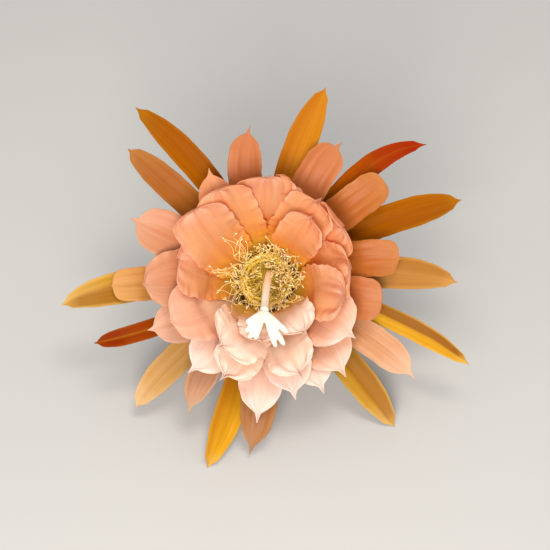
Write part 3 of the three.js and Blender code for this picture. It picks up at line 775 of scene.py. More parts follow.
@dataclass(frozen=True)
class Tepal:
    """The shape and tone of one tepal, in millimetres and degrees.

    The first fields are those of its solid. Those from crimp on only dress it.

    Attributes:
        tone: Its finish.
        start: Its direction round the flower at the root.
        end: Its direction at the tip.
        reach: How far out its tip stands.
        rise: How high its tip stands over the rim of the cup.
        width: Its greatest width.
        leave: How steeply it leaves the cup.
        lie: How steeply it rises at its tip.
        roll: How far its sides turn up.
        ruffle: The height of its slow waves.
        root: The width of its root, as a share of the greatest.
        swell: How late it grows wide.
        widest: Where it is widest, as a share of the length.
        fill: How full it stays past that.
        blunt: How soon its end narrows, from 0 for a square end.
        turn: How late it turns from start to end.
        spike: The length of its point, as a share.
        stiff: How far it keeps its section when it moves back.
        crimp: The height of the small waves of its margin.
        ragged: How uneven the line of its margin is, as a share.
        pleat: The depth of its lengthwise folds.
        keel: The depth of the groove over its midrib.
        vee: How far it is folded along the midrib, from 0 to 1.
        curl: How far its margins turn up.
        frill: The height of the frills towards its tip.
    """

    tone: Tone
    start: float = 0.0
    end: float = 0.0
    reach: float = 60.0
    rise: float = 10.0
    width: float = 16.0
    leave: float = 50.0
    lie: float = 0.0
    roll: float = 30.0
    ruffle: float = 0.5
    root: float = 0.4
    swell: float = 1.3
    widest: float = 0.65
    fill: float = 3.0
    blunt: float = 0.7
    turn: float = 1.6
    spike: float = 0.03
    stiff: float = 0.5
    crimp: float = 0.25
    ragged: float = 0.012
    pleat: float = 0.15
    keel: float = 0.2
    vee: float = 0.0
    curl: float = 0.0
    frill: float = 0.0

    def spine(self, level: float, shares: np.ndarray) -> np.ndarray:
        """Runs the tepal's line in the half plane through the flower's axis.

        Args:
            level: How far in the tepal stands, from 0 for the outermost to 1 for the innermost.
            shares: Shares of the length, from 0 at the root to 1 at the tip.

        Returns:
            The radius and the height w at each share.
        """
        w0 = CUP.bottom_w + (-0.6 - CUP.bottom_w) * level
        root = np.array([CUP.radius(w0) + CUP.root_offset, w0])
        tip = np.array([self.reach, self.rise])
        span = np.linalg.norm(tip - root)
        leave, lie = math.radians(self.leave), math.radians(self.lie)
        pull = root + 0.36 * span * np.array([math.cos(leave), math.sin(leave)])
        lead = tip - 0.42 * span * np.array([math.cos(lie), math.sin(lie)])

        def at(t: np.ndarray) -> np.ndarray:
            """Gives points of the curve.

            Args:
                t: Where on the curve, from 0 at the root to 1 at the tip.

            Returns:
                Their radius and height.
            """
            t = t[:, None]
            return (
                (1 - t) ** 3 * root + 3 * (1 - t) ** 2 * t * pull
                + 3 * (1 - t) * t * t * lead + t**3 * tip
            )

        marks = np.linspace(0, 1, 201)
        lengths = np.concatenate([[0], np.cumsum(np.linalg.norm(np.diff(at(marks), axis=0), axis=1))])
        return at(np.interp(shares * lengths[-1], lengths, marks))

    def half_width(self, s: np.ndarray, point: float, soft: bool) -> np.ndarray:
        """Gives half the width along the tepal.

        Args:
            s: Shares of the length.
            point: Half the width of the very tip.
            soft: Whether the point grows smoothly out of the end of the blade.

        Returns:
            Half the width at each share.
        """
        to_widest = np.clip(s / self.widest, 0, 1)
        past = np.clip((s - self.widest) / (1 - self.spike - self.widest), 0, 1)
        low = self.root + (1 - self.root) * np.sin(math.pi / 2 * to_widest) ** self.swell
        high = (1 - past**self.fill) ** self.blunt
        body = np.where(s < self.widest, low, high) * self.width * 0.5
        if soft:
            # The point widens into the blade, so that no corner shows where it begins.
            tooth = 0.2 * self.width * ((1 - s) / (2 * self.spike + 0.01)) ** 1.5
            spur = point + np.minimum(tooth, 0.2 * self.width) * (self.spike > 0)
            return (body**3 + spur**3) ** (1 / 3)
        return np.maximum(body, point + 0.5 * self.width * (1 - s) * self.spike / 0.35)

    def grid(self, order: int, count: int, rows: int, columns: int, dressed: bool) -> np.ndarray:
        """Lays out the tepal's middle surface.

        Args:
            order: Its place from the outermost tepal inwards.
            count: The number of tepals.
            rows: Cells along the length.
            columns: Cells across.
            dressed: Whether the fine forms are added to those of the solid.

        Returns:
            The points as (rows + 1, columns + 1, 3), in the flower's own axes.
        """
        s = row_shares(rows)
        t = np.linspace(-1, 1, columns + 1)[None, :]

        def at(shares: np.ndarray) -> np.ndarray:
            """Gives points of the midline.

            Args:
                shares: Shares of the length.

            Returns:
                The points as u, v and w.
            """
            shares = np.clip(shares, 0, 1)
            line = self.spine(order / (count - 1), shares)
            turn = np.radians(self.start + (self.end - self.start) * shares**self.turn)
            return np.stack([line[:, 0] * np.cos(turn), line[:, 0] * np.sin(turn), line[:, 1]], 1)

        centre = at(s)
        along = unit(at(np.minimum(1, s + 0.01)) - at(np.maximum(0, s - 0.01)))
        across = unit(np.cross(along, [0, 0, 1]))
        up = np.cross(across, along)
        half = self.half_width(s, 0.16 if dressed else 0.45, dressed)[:, None]
        rows_s = s[:, None]
        roll = np.radians(self.roll) * (1.45 - 0.8 * rows_s) * np.minimum(1, 0.4 + 1.8 * rows_s)
        wave = self.ruffle * np.clip(2 * rows_s, 0, 1) * 2 * half / self.width
        x = half * np.sin(roll * t) / roll
        y = half * (1 - np.cos(roll * t)) / roll
        if dressed:
            # A channelled blade is folded along its midrib and has nearly flat halves.
            fold = half * roll * (np.sqrt(t * t + 0.012) - 0.11) / 2
            y = y + (fold - y) * self.vee
        y = y + wave * t * t * np.sin(9 * rows_s + 2.4 * order + 1.9 * np.sign(t))
        if dressed:
            side_x, side_y = self.fine_forms(order, rows_s, t, half)
            x, y = x + side_x, y + side_y
        return centre[:, None] + across[:, None] * x[..., None] + up[:, None] * y[..., None]

    def fine_forms(
        self, order: int, s: np.ndarray, t: np.ndarray, half: np.ndarray
    ) -> tuple[np.ndarray, np.ndarray]:
        """Works out the small waves, folds, groove and turned margins of the blade.

        Args:
            order: The tepal's place, which sets its chance numbers.
            s: Shares of the length, as a column.
            t: Places across from -1 to 1, as a row.
            half: Half the width, as a column.

        Returns:
            Shifts across and off the face, in millimetres.
        """
        dice = Dice(911 + 37 * order)
        size = half / (0.5 * self.width)
        rim = np.abs(t)
        shift = np.zeros_like(s * t)
        lift = np.zeros_like(shift)
        for sign in (-1, 1):
            on = (np.sign(t) == sign) * np.ones_like(s)
            for waves in MARGIN_WAVES:
                turn = 2 * math.pi * (waves * s * dice.roll(0.8, 1.2) + dice.roll())
                lift += on * self.crimp * rim**4 * np.sin(turn) * 3 / (waves**0.8) * size
                shift += on * t * self.ragged * half * np.sin(turn * 1.3 + 1.7) * 6 / waves
        for count in PLEATS:
            turn = math.pi * (count * t + dice.roll(0, 2)) + dice.roll(-1, 1) * s
            lift += self.pleat * np.cos(turn) * np.sin(math.pi * np.clip(s * 1.05, 0, 1)) * size
        for count in FRILLS:
            turn = 2 * math.pi * (count * t * 0.5 + dice.roll())
            edge = step(s, 0.6, 1.0) * self.frill / count**0.7
            lift += edge * np.sin(turn)
        groove = np.exp(-((t * half / 0.9) ** 2))
        lift -= self.keel * groove * np.clip(1.25 - s, 0, 1) * np.clip(4 * s, 0, 1)
        lift += self.curl * rim**5 * np.clip(3 * s - 0.6, 0, 1) * size
        return shift, lift


OUTER = Tepal(
    Tone.GOLD, leave=50, lie=-8, roll=34, ruffle=0.3, root=0.42, widest=0.62, fill=3, blunt=0.9,
    turn=1.6, spike=0.02, stiff=1.0, crimp=0.12, ragged=0.008, pleat=0.04, keel=0.3, vee=0.35,
)
MIDDLE = Tepal(
    Tone.PEACH, leave=56, lie=-4, roll=30, ruffle=0.7, root=0.5, widest=0.68, fill=3.6, blunt=0.6,
    turn=2, spike=0.05, stiff=0.9, crimp=0.2, keel=0.25, vee=0.15,
)
BOWL = Tepal(
    Tone.ROSE_PEACH, leave=64, lie=10, roll=15, ruffle=1.1, root=0.42, swell=0.9, widest=0.66,
    fill=2.6, blunt=0.75, turn=1.6, spike=0.07, crimp=0.3, frill=0.3,
)
CORE = Tepal(
    Tone.ROSE_HEART, leave=68, lie=24, roll=13, ruffle=1.2, root=0.42, swell=0.62, widest=0.74,
    fill=5, blunt=0.42, turn=1.6, spike=0, crimp=0.45, ragged=0.02, frill=1.5,
)


def tepal(
    kind: Tepal, tone: Tone, start: float, end: float, reach: float, rise: float, width: float,
    **rest: object,
) -> Tepal:
    """Writes down one tepal of a kind.

    Args:
        kind: The kind's common sizes.
        tone: Its finish.
        start: Its direction at the root, in degrees.
        end: Its direction at the tip.
        reach: How far out its tip stands.
        rise: How high its tip stands over the rim of the cup.
        width: Its greatest width.
        **rest: Sizes that differ from its kind's.

    Returns:
        The tepal.
    """
    return replace(
        kind, tone=tone, start=start, end=end, reach=reach, rise=rise, width=width, **rest
    )


OUTER_TEPALS = (
    tepal(OUTER, Tone.EMBER, 206, 200.2, 81, 4, 8.4, fill=5, blunt=0.6),
    tepal(OUTER, Tone.BURNT_GOLD, 111, 127.1, 95.5, 4, 12.4, turn=0.9),
    tepal(OUTER, Tone.SCARLET_TIP, 50, 40.2, 93, 2, 10.4, turn=4.4),
    tepal(OUTER, Tone.CHANNEL_GOLD, -13, -22.7, 97.5, 3, 10, roll=40, vee=0.8),
    tepal(OUTER, Tone.GOLD, 257, 252.7, 86.5, 9, 13.4),
    tepal(OUTER, Tone.DEEP_GOLD, 82, 72.7, 89, 5, 14.4, turn=1),
    tepal(OUTER, Tone.PALE_GOLD, 180, 187, 91, 5, 15.4, roll=50, turn=2.4, vee=0.6),
    tepal(OUTER, Tone.BURNT_GOLD, 34, 22.3, 93.5, 3, 13.8, turn=0.9, fill=4),
    tepal(OUTER, Tone.PALE_GOLD, -44, -48.9, 87.5, -7.9, 14.2),
    tepal(OUTER, Tone.BRONZE, 134, 136.5, 84, 6, 13.2, blunt=0.65),
    tepal(OUTER, Tone.AMBER, 5, -0.8, 84.5, 4, 14.6, turn=3),
    tepal(OUTER, Tone.GOLD_PEACH, 221, 224.3, 81.5, -5, 13.8, turn=4, blunt=0.8),
)
MIDDLE_TEPALS = (
    tepal(MIDDLE, Tone.HONEY, 181, 182.2, 68, 10, 15, fill=6, blunt=0.35, spike=0.01),
    tepal(MIDDLE, Tone.PEACH, 104, 95.8, 68, 10, 15.2, turn=3),
    tepal(MIDDLE, Tone.ROSE_GOLD, -28, -33.6, 79, 6, 14.6, turn=3, blunt=0.75),
    tepal(MIDDLE, Tone.TAWNY, 43, 39.8, 67.5, 12, 16.6, fill=6, blunt=0.35, spike=0),
    tepal(MIDDLE, Tone.ROSE_DEEP_PAINTED_SHADE, -91, -95.4, 77, 8, 16, fill=2.6, blunt=0.85),
    tepal(MIDDLE, Tone.PEACH_PAINTED_LIGHT, 124, 117, 54.5, 20, 17.5, fill=2.6, blunt=0.7, turn=3),
    tepal(MIDDLE, Tone.ROSE_PAINTED_SHADE, 234, 240, 68, 12, 13.6, turn=3, blunt=0.9, fill=2.6),
    tepal(MIDDLE, Tone.PEACH, 66, 61, 69, 12, 16.6, fill=5, blunt=0.45, turn=4),
    tepal(MIDDLE, Tone.TAWNY, 14.5, 8.8, 60, 14, 16.4, fill=6, blunt=0.35, spike=0.02, turn=3),
    tepal(MIDDLE, Tone.ROSE_PEACH, 155, 155.4, 65, 16, 20.5, fill=3.4, blunt=0.6),
    tepal(MIDDLE, Tone.PEACH, -13, -10, 51.5, 16, 19.5, fill=6, blunt=0.4, spike=0),
    tepal(MIDDLE, Tone.ROSE_LIGHT, 208, 203, 56, 17, 20, fill=3, blunt=0.7),
)
INNER_TEPALS = (
    tepal(BOWL, Tone.ROSE_PEACH, 176, 182, 53.5, 22, 26, blunt=0.5, spike=0.02),
    tepal(BOWL, Tone.PALE, -92, -93.6, 62.5, 15, 19.5),
    tepal(BOWL, Tone.PALE, -59, -62.8, 55.5, 20, 20),
    tepal(BOWL, Tone.BLUSH, -45, -50.5, 54.5, 22, 23, turn=2.4),
    tepal(BOWL, Tone.PALE, -75, -76, 53.5, 22, 21),
    tepal(BOWL, Tone.PALE, 234, 230, 52.5, 23, 21, turn=3, blunt=0.6),
    tepal(BOWL, Tone.PEACH_RIMMED, 204, 203, 45, 30, 28, blunt=0.45, spike=0.02),
    tepal(BOWL, Tone.BLUSH, -28, -33, 46, 29, 27, blunt=0.5),
    tepal(CORE, Tone.GLOWING_HEART, 82, 84, 41, 31, 25),
    tepal(CORE, Tone.PALE_HEART, -74, -69.5, 44.5, 31, 21, fill=3, blunt=0.6, spike=0.05, turn=3),
    tepal(CORE, Tone.PALE_HEART, 254, 245.5, 47, 30, 21, fill=3, blunt=0.65, spike=0.06, turn=3),
    tepal(CORE, Tone.ROSE_HEART, 174, 167, 37, 31, 26, lie=34),
    tepal(CORE, Tone.ROSE_HEART, 92, 89, 43.5, 34, 26),
    tepal(CORE, Tone.GLOWING_HEART, 33, 34, 39.5, 33, 24, frill=2, curl=1.2),
    tepal(CORE, Tone.GLOWING_HEART, 8, 7, 36, 34, 25, frill=2.2, curl=1.6),
    tepal(CORE, Tone.GLOWING_HEART, 60, 56, 42, 34, 24, spike=0.05),
    tepal(CORE, Tone.GLOWING_HEART, 120, 118, 43.5, 34, 26),
    tepal(CORE, Tone.ROSE_HEART, 147, 136, 42.5, 35, 26, blunt=0.3),
    tepal(CORE, Tone.PALE_HEART, 252, 235, 35.5, 35, 27, fill=3, blunt=0.5, spike=0.05, turn=2.4),
    tepal(CORE, Tone.ROSE_HEART, -16, -11, 34, 36, 24, frill=2.6, curl=1.8),
    tepal(CORE, Tone.GLOWING_HEART, 50, 54, 33.5, 37, 20, fill=3, spike=0.03),
    tepal(CORE, Tone.PALE_HEART, -98, -93, 27, 30, 20, lie=8, leave=66, fill=3, spike=0.03),
    tepal(CORE, Tone.PALE_HEART, -51, -54, 28.5, 32, 19, lie=8, leave=66, fill=3, blunt=0.7, spike=0.03),
)


def grid_normals(grid: np.ndarray) -> np.ndarray:
    """Gives the normals of a grid of points.

    Args:
        grid: The points, as rows along and columns across.

    Returns:
        The unit normals, off the upper face.
    """
    behind, before, left, right = beside(grid)
    return unit(np.cross(right - left, before - behind))


def ways_back(grid: np.ndarray, stiff: float) -> np.ndarray:
    """Gives the direction in which each point of a blade moves back.

    Args:
        grid: The blade's middle surface.
        stiff: How far a point follows the midline, from 0 for its own normal to 1 for the midline's.

    Returns:
        The unit directions, off the upper face.
    """
    normals = grid_normals(grid)
    middle = normals[:, normals.shape[1] // 2][:, None]
    return unit(normals * (1 - stiff) + middle * stiff)


def grid_cells(rows: int, columns: int) -> list[tuple[int, int, int, int]]:
    """Lists the corners of each cell of a grid.

    Args:
        rows: Cells along.
        columns: Cells across.

    Returns:
        The numbers of the four points of each cell.
    """
    wide = columns + 1
    return [
        (i * wide + j, i * wide + j + 1, (i + 1) * wide + j + 1, (i + 1) * wide + j)
        for i in range(rows)
        for j in range(columns)
    ]


def cell_triangles(rows: int, columns: int) -> list[tuple[int, int, int]]:
    """Cuts each cell of a grid in two, as the solids do.

    Args:
        rows: Cells along.
        columns: Cells across.

    Returns:
        The numbers of the three points of each half.
    """
    return [
        three for a, b, d, c in grid_cells(rows, columns) for three in ((a, b, d), (a, d, c))
    ]


def beside(grid: np.ndarray) -> tuple[np.ndarray, np.ndarray, np.ndarray, np.ndarray]:
    """Gives what stands behind, before, left and right of each point of a grid.

    Args:
        grid: Its values, which repeat past its edges.

    Returns:
        Four grids of the same size.
    """
    p = np.pad(grid, ((1, 1), (1, 1)) + ((0, 0),) * (grid.ndim - 2), mode="edge")
    return p[:-2, 1:-1], p[2:, 1:-1], p[1:-1, :-2], p[1:-1, 2:]


class Placed:
    """The middle surfaces that already lie in their places."""

    def __init__(self) -> None:
        """Starts with none."""
        self.points: list[np.ndarray] = []
        self.faces: list[tuple[int, ...]] = []

    def add(self, grid: np.ndarray, cells: Sequence[tuple[int, ...]]) -> None:
        """Adds one surface.

        Args:
            grid: Its points.
            cells: The point numbers of its faces.
        """
        base = sum(len(p) for p in self.points)
        self.points.append(grid.reshape(-1, 3))
        self.faces += [tuple(base + n for n in cell) for cell in cells]

    def tree(self) -> BVHTree:
        """Gives the surfaces for tests of distance."""
        return BVHTree.FromPolygons(np.vstack(self.points).tolist(), self.faces)


@dataclass(frozen=True)
class Clearance:
    """How blades are kept apart while they settle, in millimetres.

    Attributes:
        clear: The least distance between middle surfaces.
        margin: How far a blade is widened, as the room that it needs.
        deep: How far in front of a point other blades are looked for.
        rounds: How often a blade is moved at most.
        still: The push that no longer counts.
        split: Test points for each cell and way.
        steepest: The least cosine of a slope that still counts in full.
        hop: The step past a surface that was hit.
    """

    clear: float
    margin: float
    deep: float
    rounds: int
    still: float
    split: int = 1
    steepest: float = 0.35
    hop: float = 1e-3


@dataclass
class Settling:
    """Bends each blade back until it lies clear behind the blades inside it."""

    coarse: Clearance = Clearance(clear=0.85, margin=0.7, deep=9.0, rounds=4, still=0.01, split=3)
    fine: Clearance = Clearance(clear=0.58, margin=0.3, deep=2.6, rounds=3, still=0.02)
    coarse_rows: int = 9
    coarse_columns: int = 4
    calming: int = 24
    easing: int = 3
    spread_cells: int = 3

    @staticmethod
    def guard(grid: np.ndarray, margin: float) -> np.ndarray:
        """Widens a grid at its sides and past its tip, as the room that the blade needs.

        Args:
            grid: The blade's middle surface.
            margin: How far it is widened.

        Returns:
            The widened grid.
        """
        out = grid.copy()
        out[:, 0] += margin * unit(grid[:, 0] - grid[:, 1])
        out[:, -1] += margin * unit(grid[:, -1] - grid[:, -2])
        out[-1] += margin * unit(grid[-1] - grid[-2])
        return out

    @staticmethod
    def need(point: Vector, normal: Vector, tree: BVHTree, room: Clearance) -> float:
        """Finds how far a point must move back to lie clear behind what is already placed.

        Args:
            point: The point.
            normal: The way forwards at it.
            tree: The blades already placed.
            room: How far they are kept apart.

        Returns:
            The distance, or 0 where nothing is in the way.
        """
        reach = room.deep + room.clear / room.steepest
        gone = 0.0
        need = 0.0
        # Every surface in front of the point counts, not only the nearest one.
        while gone < reach:
            place = point + normal * (gone - room.deep)
            hit, flat, _, far = tree.ray_cast(place, normal, reach - gone)
            if hit is None:
                break
            gone += far
            need = max(need, room.clear / max(room.steepest, abs(flat.dot(normal))) - (gone - room.deep))
            gone += room.hop
        return need

    def pushes(
        self, grid: np.ndarray, normals: np.ndarray, tree: BVHTree, room: Clearance
    ) -> np.ndarray:
        """Finds how far each point of a grid must move back.

        Args:
            grid: The blade's middle surface.
            normals: The way forwards at each point.
            tree: The blades already placed.
            room: How far they are kept apart.

        Returns:
            The push at each point.
        """
        split = room.split
        rows, columns = grid.shape[0] - 1, grid.shape[1] - 1
        push = np.zeros((rows + 1, columns + 1))
        if split > 1:
            grid, normals = (self.denser(m, split) for m in (grid, normals))
            normals = unit(normals)
        for a in range(grid.shape[0]):
            for b in range(grid.shape[1]):
                need = self.need(Vector(grid[a, b]), Vector(normals[a, b]), tree, room)
                if need <= 0:
                    continue
                if split == 1:
                    push[a, b] = need
                    continue
                i, j = min(rows - 1, a // split), min(columns - 1, b // split)
                push[i : i + 2, j : j + 2] = np.maximum(push[i : i + 2, j : j + 2], need)
        return push

    @staticmethod
    def denser(grid: np.ndarray, split: int) -> np.ndarray:
        """Splits each cell of a grid evenly.

        Args:
            grid: The points or their normals.
            split: Parts for each cell and way.

        Returns:
            The denser grid.
        """
        for axis in (0, 1):
            count = grid.shape[axis] - 1
            at = np.arange(count * split + 1) / split
            low = np.minimum(at.astype(int), count - 1)
            share = (at - low).reshape([-1 if n == axis else 1 for n in range(3)])
            grid = np.take(grid, low, axis) * (1 - share) + np.take(grid, low + 1, axis) * share
        return grid

    def evened(self, ways: np.ndarray) -> np.ndarray:
        """Evens out the normals of a wavy blade.

        Args:
            ways: The normals.

        Returns:
            The calmer directions.
        """
        for _ in range(self.calming):
            ways = unit(sum(beside(ways)) + ways)
        return ways

    def eased(self, push: np.ndarray) -> np.ndarray:
        """Spreads a push to its neighbours, so that the blade bends and does not dent.

        Args:
            push: How far each point moves back.

        Returns:
            The push with its slopes.
        """
        for _ in range(self.easing):
            push = np.maximum(push, sum(beside(push)) / 4)
        return push

    def spread(self, push: np.ndarray) -> np.ndarray:
        """Widens a fine push by a few cells and rounds it off.

        Args:
            push: How far each point moves back.

        Returns:
            The wider push.
        """
        for _ in range(self.spread_cells):
            push = np.max([*beside(push), push], axis=0)
        for _ in range(self.spread_cells):
            push = (sum(beside(push)) + push) / 5
        return push

    def settle_plain(self, tepals: Sequence[Tepal]) -> list[np.ndarray]:
        """Settles the few control points of each plain blade, as the solids are settled.

        Args:
            tepals: All tepals from the outermost inwards.

        Returns:
            How far each blade's control points moved.
        """
        rows, columns = self.coarse_rows, self.coarse_columns
        cells = cell_triangles(rows, columns)
        shifts: list[np.ndarray] = [np.zeros((rows + 1, columns + 1, 3))] * len(tepals)
        placed = Placed()
        for order in reversed(range(len(tepals))):
            first = tepals[order].grid(order, len(tepals), rows, columns, False)
            grid = first.copy()
            if placed.points:
                tree = placed.tree()
                for _ in range(self.coarse.rounds):
                    push = self.pushes(grid, grid_normals(grid), tree, self.coarse)
                    if push.max() < self.coarse.still:
                        break
                    grid -= ways_back(grid, tepals[order].stiff) * self.eased(push)[..., None]
            placed.add(self.guard(grid, self.coarse.margin), cells)
            shifts[order] = grid - first
        return shifts

    def settle_dressed(self, grids: list[np.ndarray]) -> None:
        """Settles the dressed blades where they are, from the innermost outwards.

        Args:
            grids: The blades' middle surfaces from the outermost inwards, which change.
        """
        cells = grid_cells(grids[0].shape[0] - 1, grids[0].shape[1] - 1)
        placed = Placed()
        for grid in reversed(grids):
            if placed.points:
                tree = placed.tree()
                for _ in range(self.fine.rounds):
                    ways = self.evened(grid_normals(grid))
                    push = self.pushes(grid, ways, tree, self.fine)
                    if push.max() < self.fine.still:
                        break
                    grid -= ways * self.spread(push)[..., None]
            placed.add(self.guard(grid, self.fine.margin), cells)


def bent(shift: np.ndarray, rows: int, columns: int) -> np.ndarray:
    """Carries the shifts of a few control points smoothly to a fine grid.

    Args:
        shift: Shifts of the control points.
        rows: Cells along the fine grid.
        columns: Cells across it.

    Returns:
        The shift of each fine point.
    """
    for axis, count in ((0, rows), (1, columns)):
        last = shift.shape[axis] - 1
        at = np.linspace(0, last, count + 1)
        i = np.minimum(at.astype(int), last - 1)
        f = (at - i).reshape([-1 if n == axis else 1 for n in range(3)])
        p0, p1, p2, p3 = (
            np.take(shift, np.clip(i + n, 0, last), axis) for n in (-1, 0, 1, 2)
        )
        shift = 0.5 * (
            2 * p1 + (p2 - p0) * f + (2 * p0 - 5 * p1 + 4 * p2 - p3) * f**2
            + (3 * p1 - p0 - 3 * p2 + p3) * f**3
        )
    return shift


@dataclass
class Corolla:
    """All tepals, from the narrow outer rays to the bowl of inner ones."""

    rows: int = 66
    columns: int = 30
    thickness: float = 0.46
    thin_margin: float = 0.45
    settling: Settling = field(default_factory=Settling)
    grids: list[np.ndarray] = field(default_factory=list)

    @staticmethod
    def names() -> list[str]:
        """Lists the names of the tepals' solids from the outermost inwards."""
        rings = (("outer", OUTER_TEPALS), ("middle", MIDDLE_TEPALS), ("inner", INNER_TEPALS))
        return [f"{ring}_tepal_{n + 1:02d}" for ring, row in rings for n in range(len(row))]

    def build(self) -> list[Piece]:
        """Shapes every blade.

        Returns:
            The blades from the outermost inwards, without their finishes.
        """
        tepals = OUTER_TEPALS + MIDDLE_TEPALS + INNER_TEPALS
        shifts = self.settling.settle_plain(tepals)
        self.grids = [
            t.grid(k, len(tepals), self.rows, self.columns, True) + bent(shifts[k], self.rows, self.columns)
            for k, t in enumerate(tepals)
        ]
        self.settling.settle_dressed(self.grids)
        blank = self.blank()
        blades = [
            self.blade(blank, grid, name.replace("tepal", "petal"))
            for grid, name in zip(self.grids, self.names())
        ]
        Bench.discard(blank)
        return blades

    def blank(self) -> Piece:
        """Lays out the flat blank that every blade is shaped from.

        Returns:
            The blank, with its map and the group that its margin thins out by.
        """
        Bench.clear()
        bpy.ops.mesh.primitive_grid_add(x_subdivisions=self.columns, y_subdivisions=self.rows, size=2)
        blank = bpy.context.object
        mesh = blank.data
        t = np.tile(np.linspace(0.002, 0.998, self.columns + 1), self.rows + 1)
        s = np.repeat(row_shares(self.rows), self.columns + 1)
        corners = np.empty(len(mesh.loops), int)
        mesh.loops.foreach_get("vertex_index", corners)
        mesh.uv_layers[0].name = BLADE_UV
        mesh.uv_layers[0].data.foreach_set("uv", np.stack([t[corners], s[corners]], 1).ravel())
        heart = blank.vertex_groups.new(name="heart")
        for n, (across, along) in enumerate(zip(t, s)):
            rim = max(abs(2 * across - 1), along)
            heart.add([n], float(1 - step(np.array(rim), 0.7, 1.0)), "REPLACE")
        return blank

    def blade(self, blank: Piece, grid: np.ndarray, name: str) -> Piece:
        """Shapes one blade from the blank.

        Args:
            blank: The flat blank.
            grid: Where its points go, in the flower's own axes.
            name: The blade's name.

        Returns:
            The closed blade.
        """
        blade = Bench.copy(blank, name)
        Bench.move(blade, FRAME.place(grid.reshape(-1, 3)))
        blade.data.materials.append(None)
        blade.data.materials.append(None)
        Bench.finish(
            blade, "SOLIDIFY", thickness=self.thickness * MM, offset=0.0, vertex_group="heart",
            thickness_vertex_group=self.thin_margin, material_offset=1, use_even_offset=False,
        )
        self.mark_back(blade)
        blade.vertex_groups.clear()
        Bench.smooth(blade, 70)
        return blade

    @staticmethod
    def mark_back(blade: Piece) -> None:
        """Shifts the map of the lower face by one tile, so that the finish can tell it from the upper.

        Args:
            blade: The blade, whose lower face has the second material.
        """
        mesh = blade.data
        lower = np.empty(len(mesh.polygons), int)
        mesh.polygons.foreach_get("material_index", lower)
        totals = np.empty(len(mesh.polygons), int)
        mesh.polygons.foreach_get("loop_total", totals)
        spots = np.empty(len(mesh.loops) * 2)
        layer = mesh.uv_layers[BLADE_UV]
        layer.data.foreach_get("uv", spots)
        spots = spots.reshape(-1, 2)
        spots[:, 0] += np.repeat(lower, totals)
        layer.data.foreach_set("uv", spots.ravel())
        mesh.polygons.foreach_set("material_index", np.zeros(len(lower), int))

    def dress(self, blades: Sequence[Piece]) -> None:
        """Gives each blade its finish and hands it over.

        Args:
            blades: The blades from the outermost inwards.
        """
        finishes = {tone: tone.value.material("petal_" + tone.name.lower()) for tone in Tone}
        tepals = OUTER_TEPALS + MIDDLE_TEPALS + INNER_TEPALS
        for blade, shape, node in zip(blades, tepals, self.names()):
            Bench.hand_over(blade, node, shape.tone.value.slot, finishes[shape.tone])

    def tree(self) -> BVHTree:
        """Gathers the inner blades.

        Returns:
            Their middle surfaces, for tests of distance.
        """
        inner = Placed()
        for grid in self.grids[-len(INNER_TEPALS) :]:
            inner.add(grid, grid_cells(self.rows, self.columns))
        return inner.tree()


def swept(
    name: str, paths: Sequence[np.ndarray], radii: Sequence[Sequence[float]], thick: float, sides: int
) -> Piece:
    """Draws round strands along paths and turns them into one mesh.

    Args:
        name: The piece's name.
        paths: The points of each strand, in the flower's own axes.
        radii: The share of the thickness at each point of each strand.
        thick: The radius of a strand in millimetres.
        sides: Rounding of the strand, from 0 for four sides.

    Returns:
        The strands as one mesh, closed at their ends.
    """
    curve = bpy.data.curves.new(name, "CURVE")
    curve.dimensions = "3D"
    curve.bevel_depth = thick * MM
    curve.bevel_resolution = sides
    curve.use_fill_caps = True
    for path, shares in zip(paths, radii):
        line = curve.splines.new("POLY")
        line.points.add(len(path) - 1)
        places = np.hstack([FRAME.place(np.array(path)), np.ones((len(path), 1))])
        line.points.foreach_set("co", places.ravel())
        line.points.foreach_set("radius", np.array(shares, float))
    made = bpy.data.objects.new(name, curve)
    bpy.context.collection.objects.link(made)
    Bench.take(made)
    bpy.ops.object.convert(target="MESH")
    made.data.name = name
    return made


@dataclass(frozen=True)
class TubeFinish:
    """Green to reddish skin of the floral tube, pale yellow to olive inside its throat."""

    name: str = "tube_skin"

    def material(self) -> bpy.types.Material:
        """Builds the skin.

        Returns:
            The material, which reads the height along the tube from its map.
        """
        g = Graph(self.name)
        around, along = g.own_map()
        local = g.own_place()
        cloud = g.noise(local, 160.0, 3.0)
        colour = g.ramp(
            g.stir(along, cloud, 0.1),
            (
                (0.0, "#6f7a34"), (0.18, "#7f8a3c"), (0.42, "#98853f"), (0.6, "#a8743c"),
                (0.72, "#b8903a"), (0.8, "#fce884"), (0.9, "#fce068"), (1.0, "#c4a428"),
            ),
        )
        ribs = g.streaks(around, along, 40.0, 4.0)
        colour = g.mix(g.math("MULTIPLY", g.rise(ribs, 0.45, 0.7), 0.35), colour, "#8a5a30", "MULTIPLY")
        specks = g.rise(g.noise(local, 1500.0, 1.0), 0.62, 0.72)
        colour = g.mix(g.math("MULTIPLY", specks, 0.3), colour, "#c8c890")
        normal = g.bump(g.math("MULTIPLY_ADD", ribs, 0.8, cloud), 0.35, 0.7)
        rough = g.math("MULTIPLY_ADD", cloud, 0.2, 0.35)
        return g.surface(colour, rough, normal, 0.4)


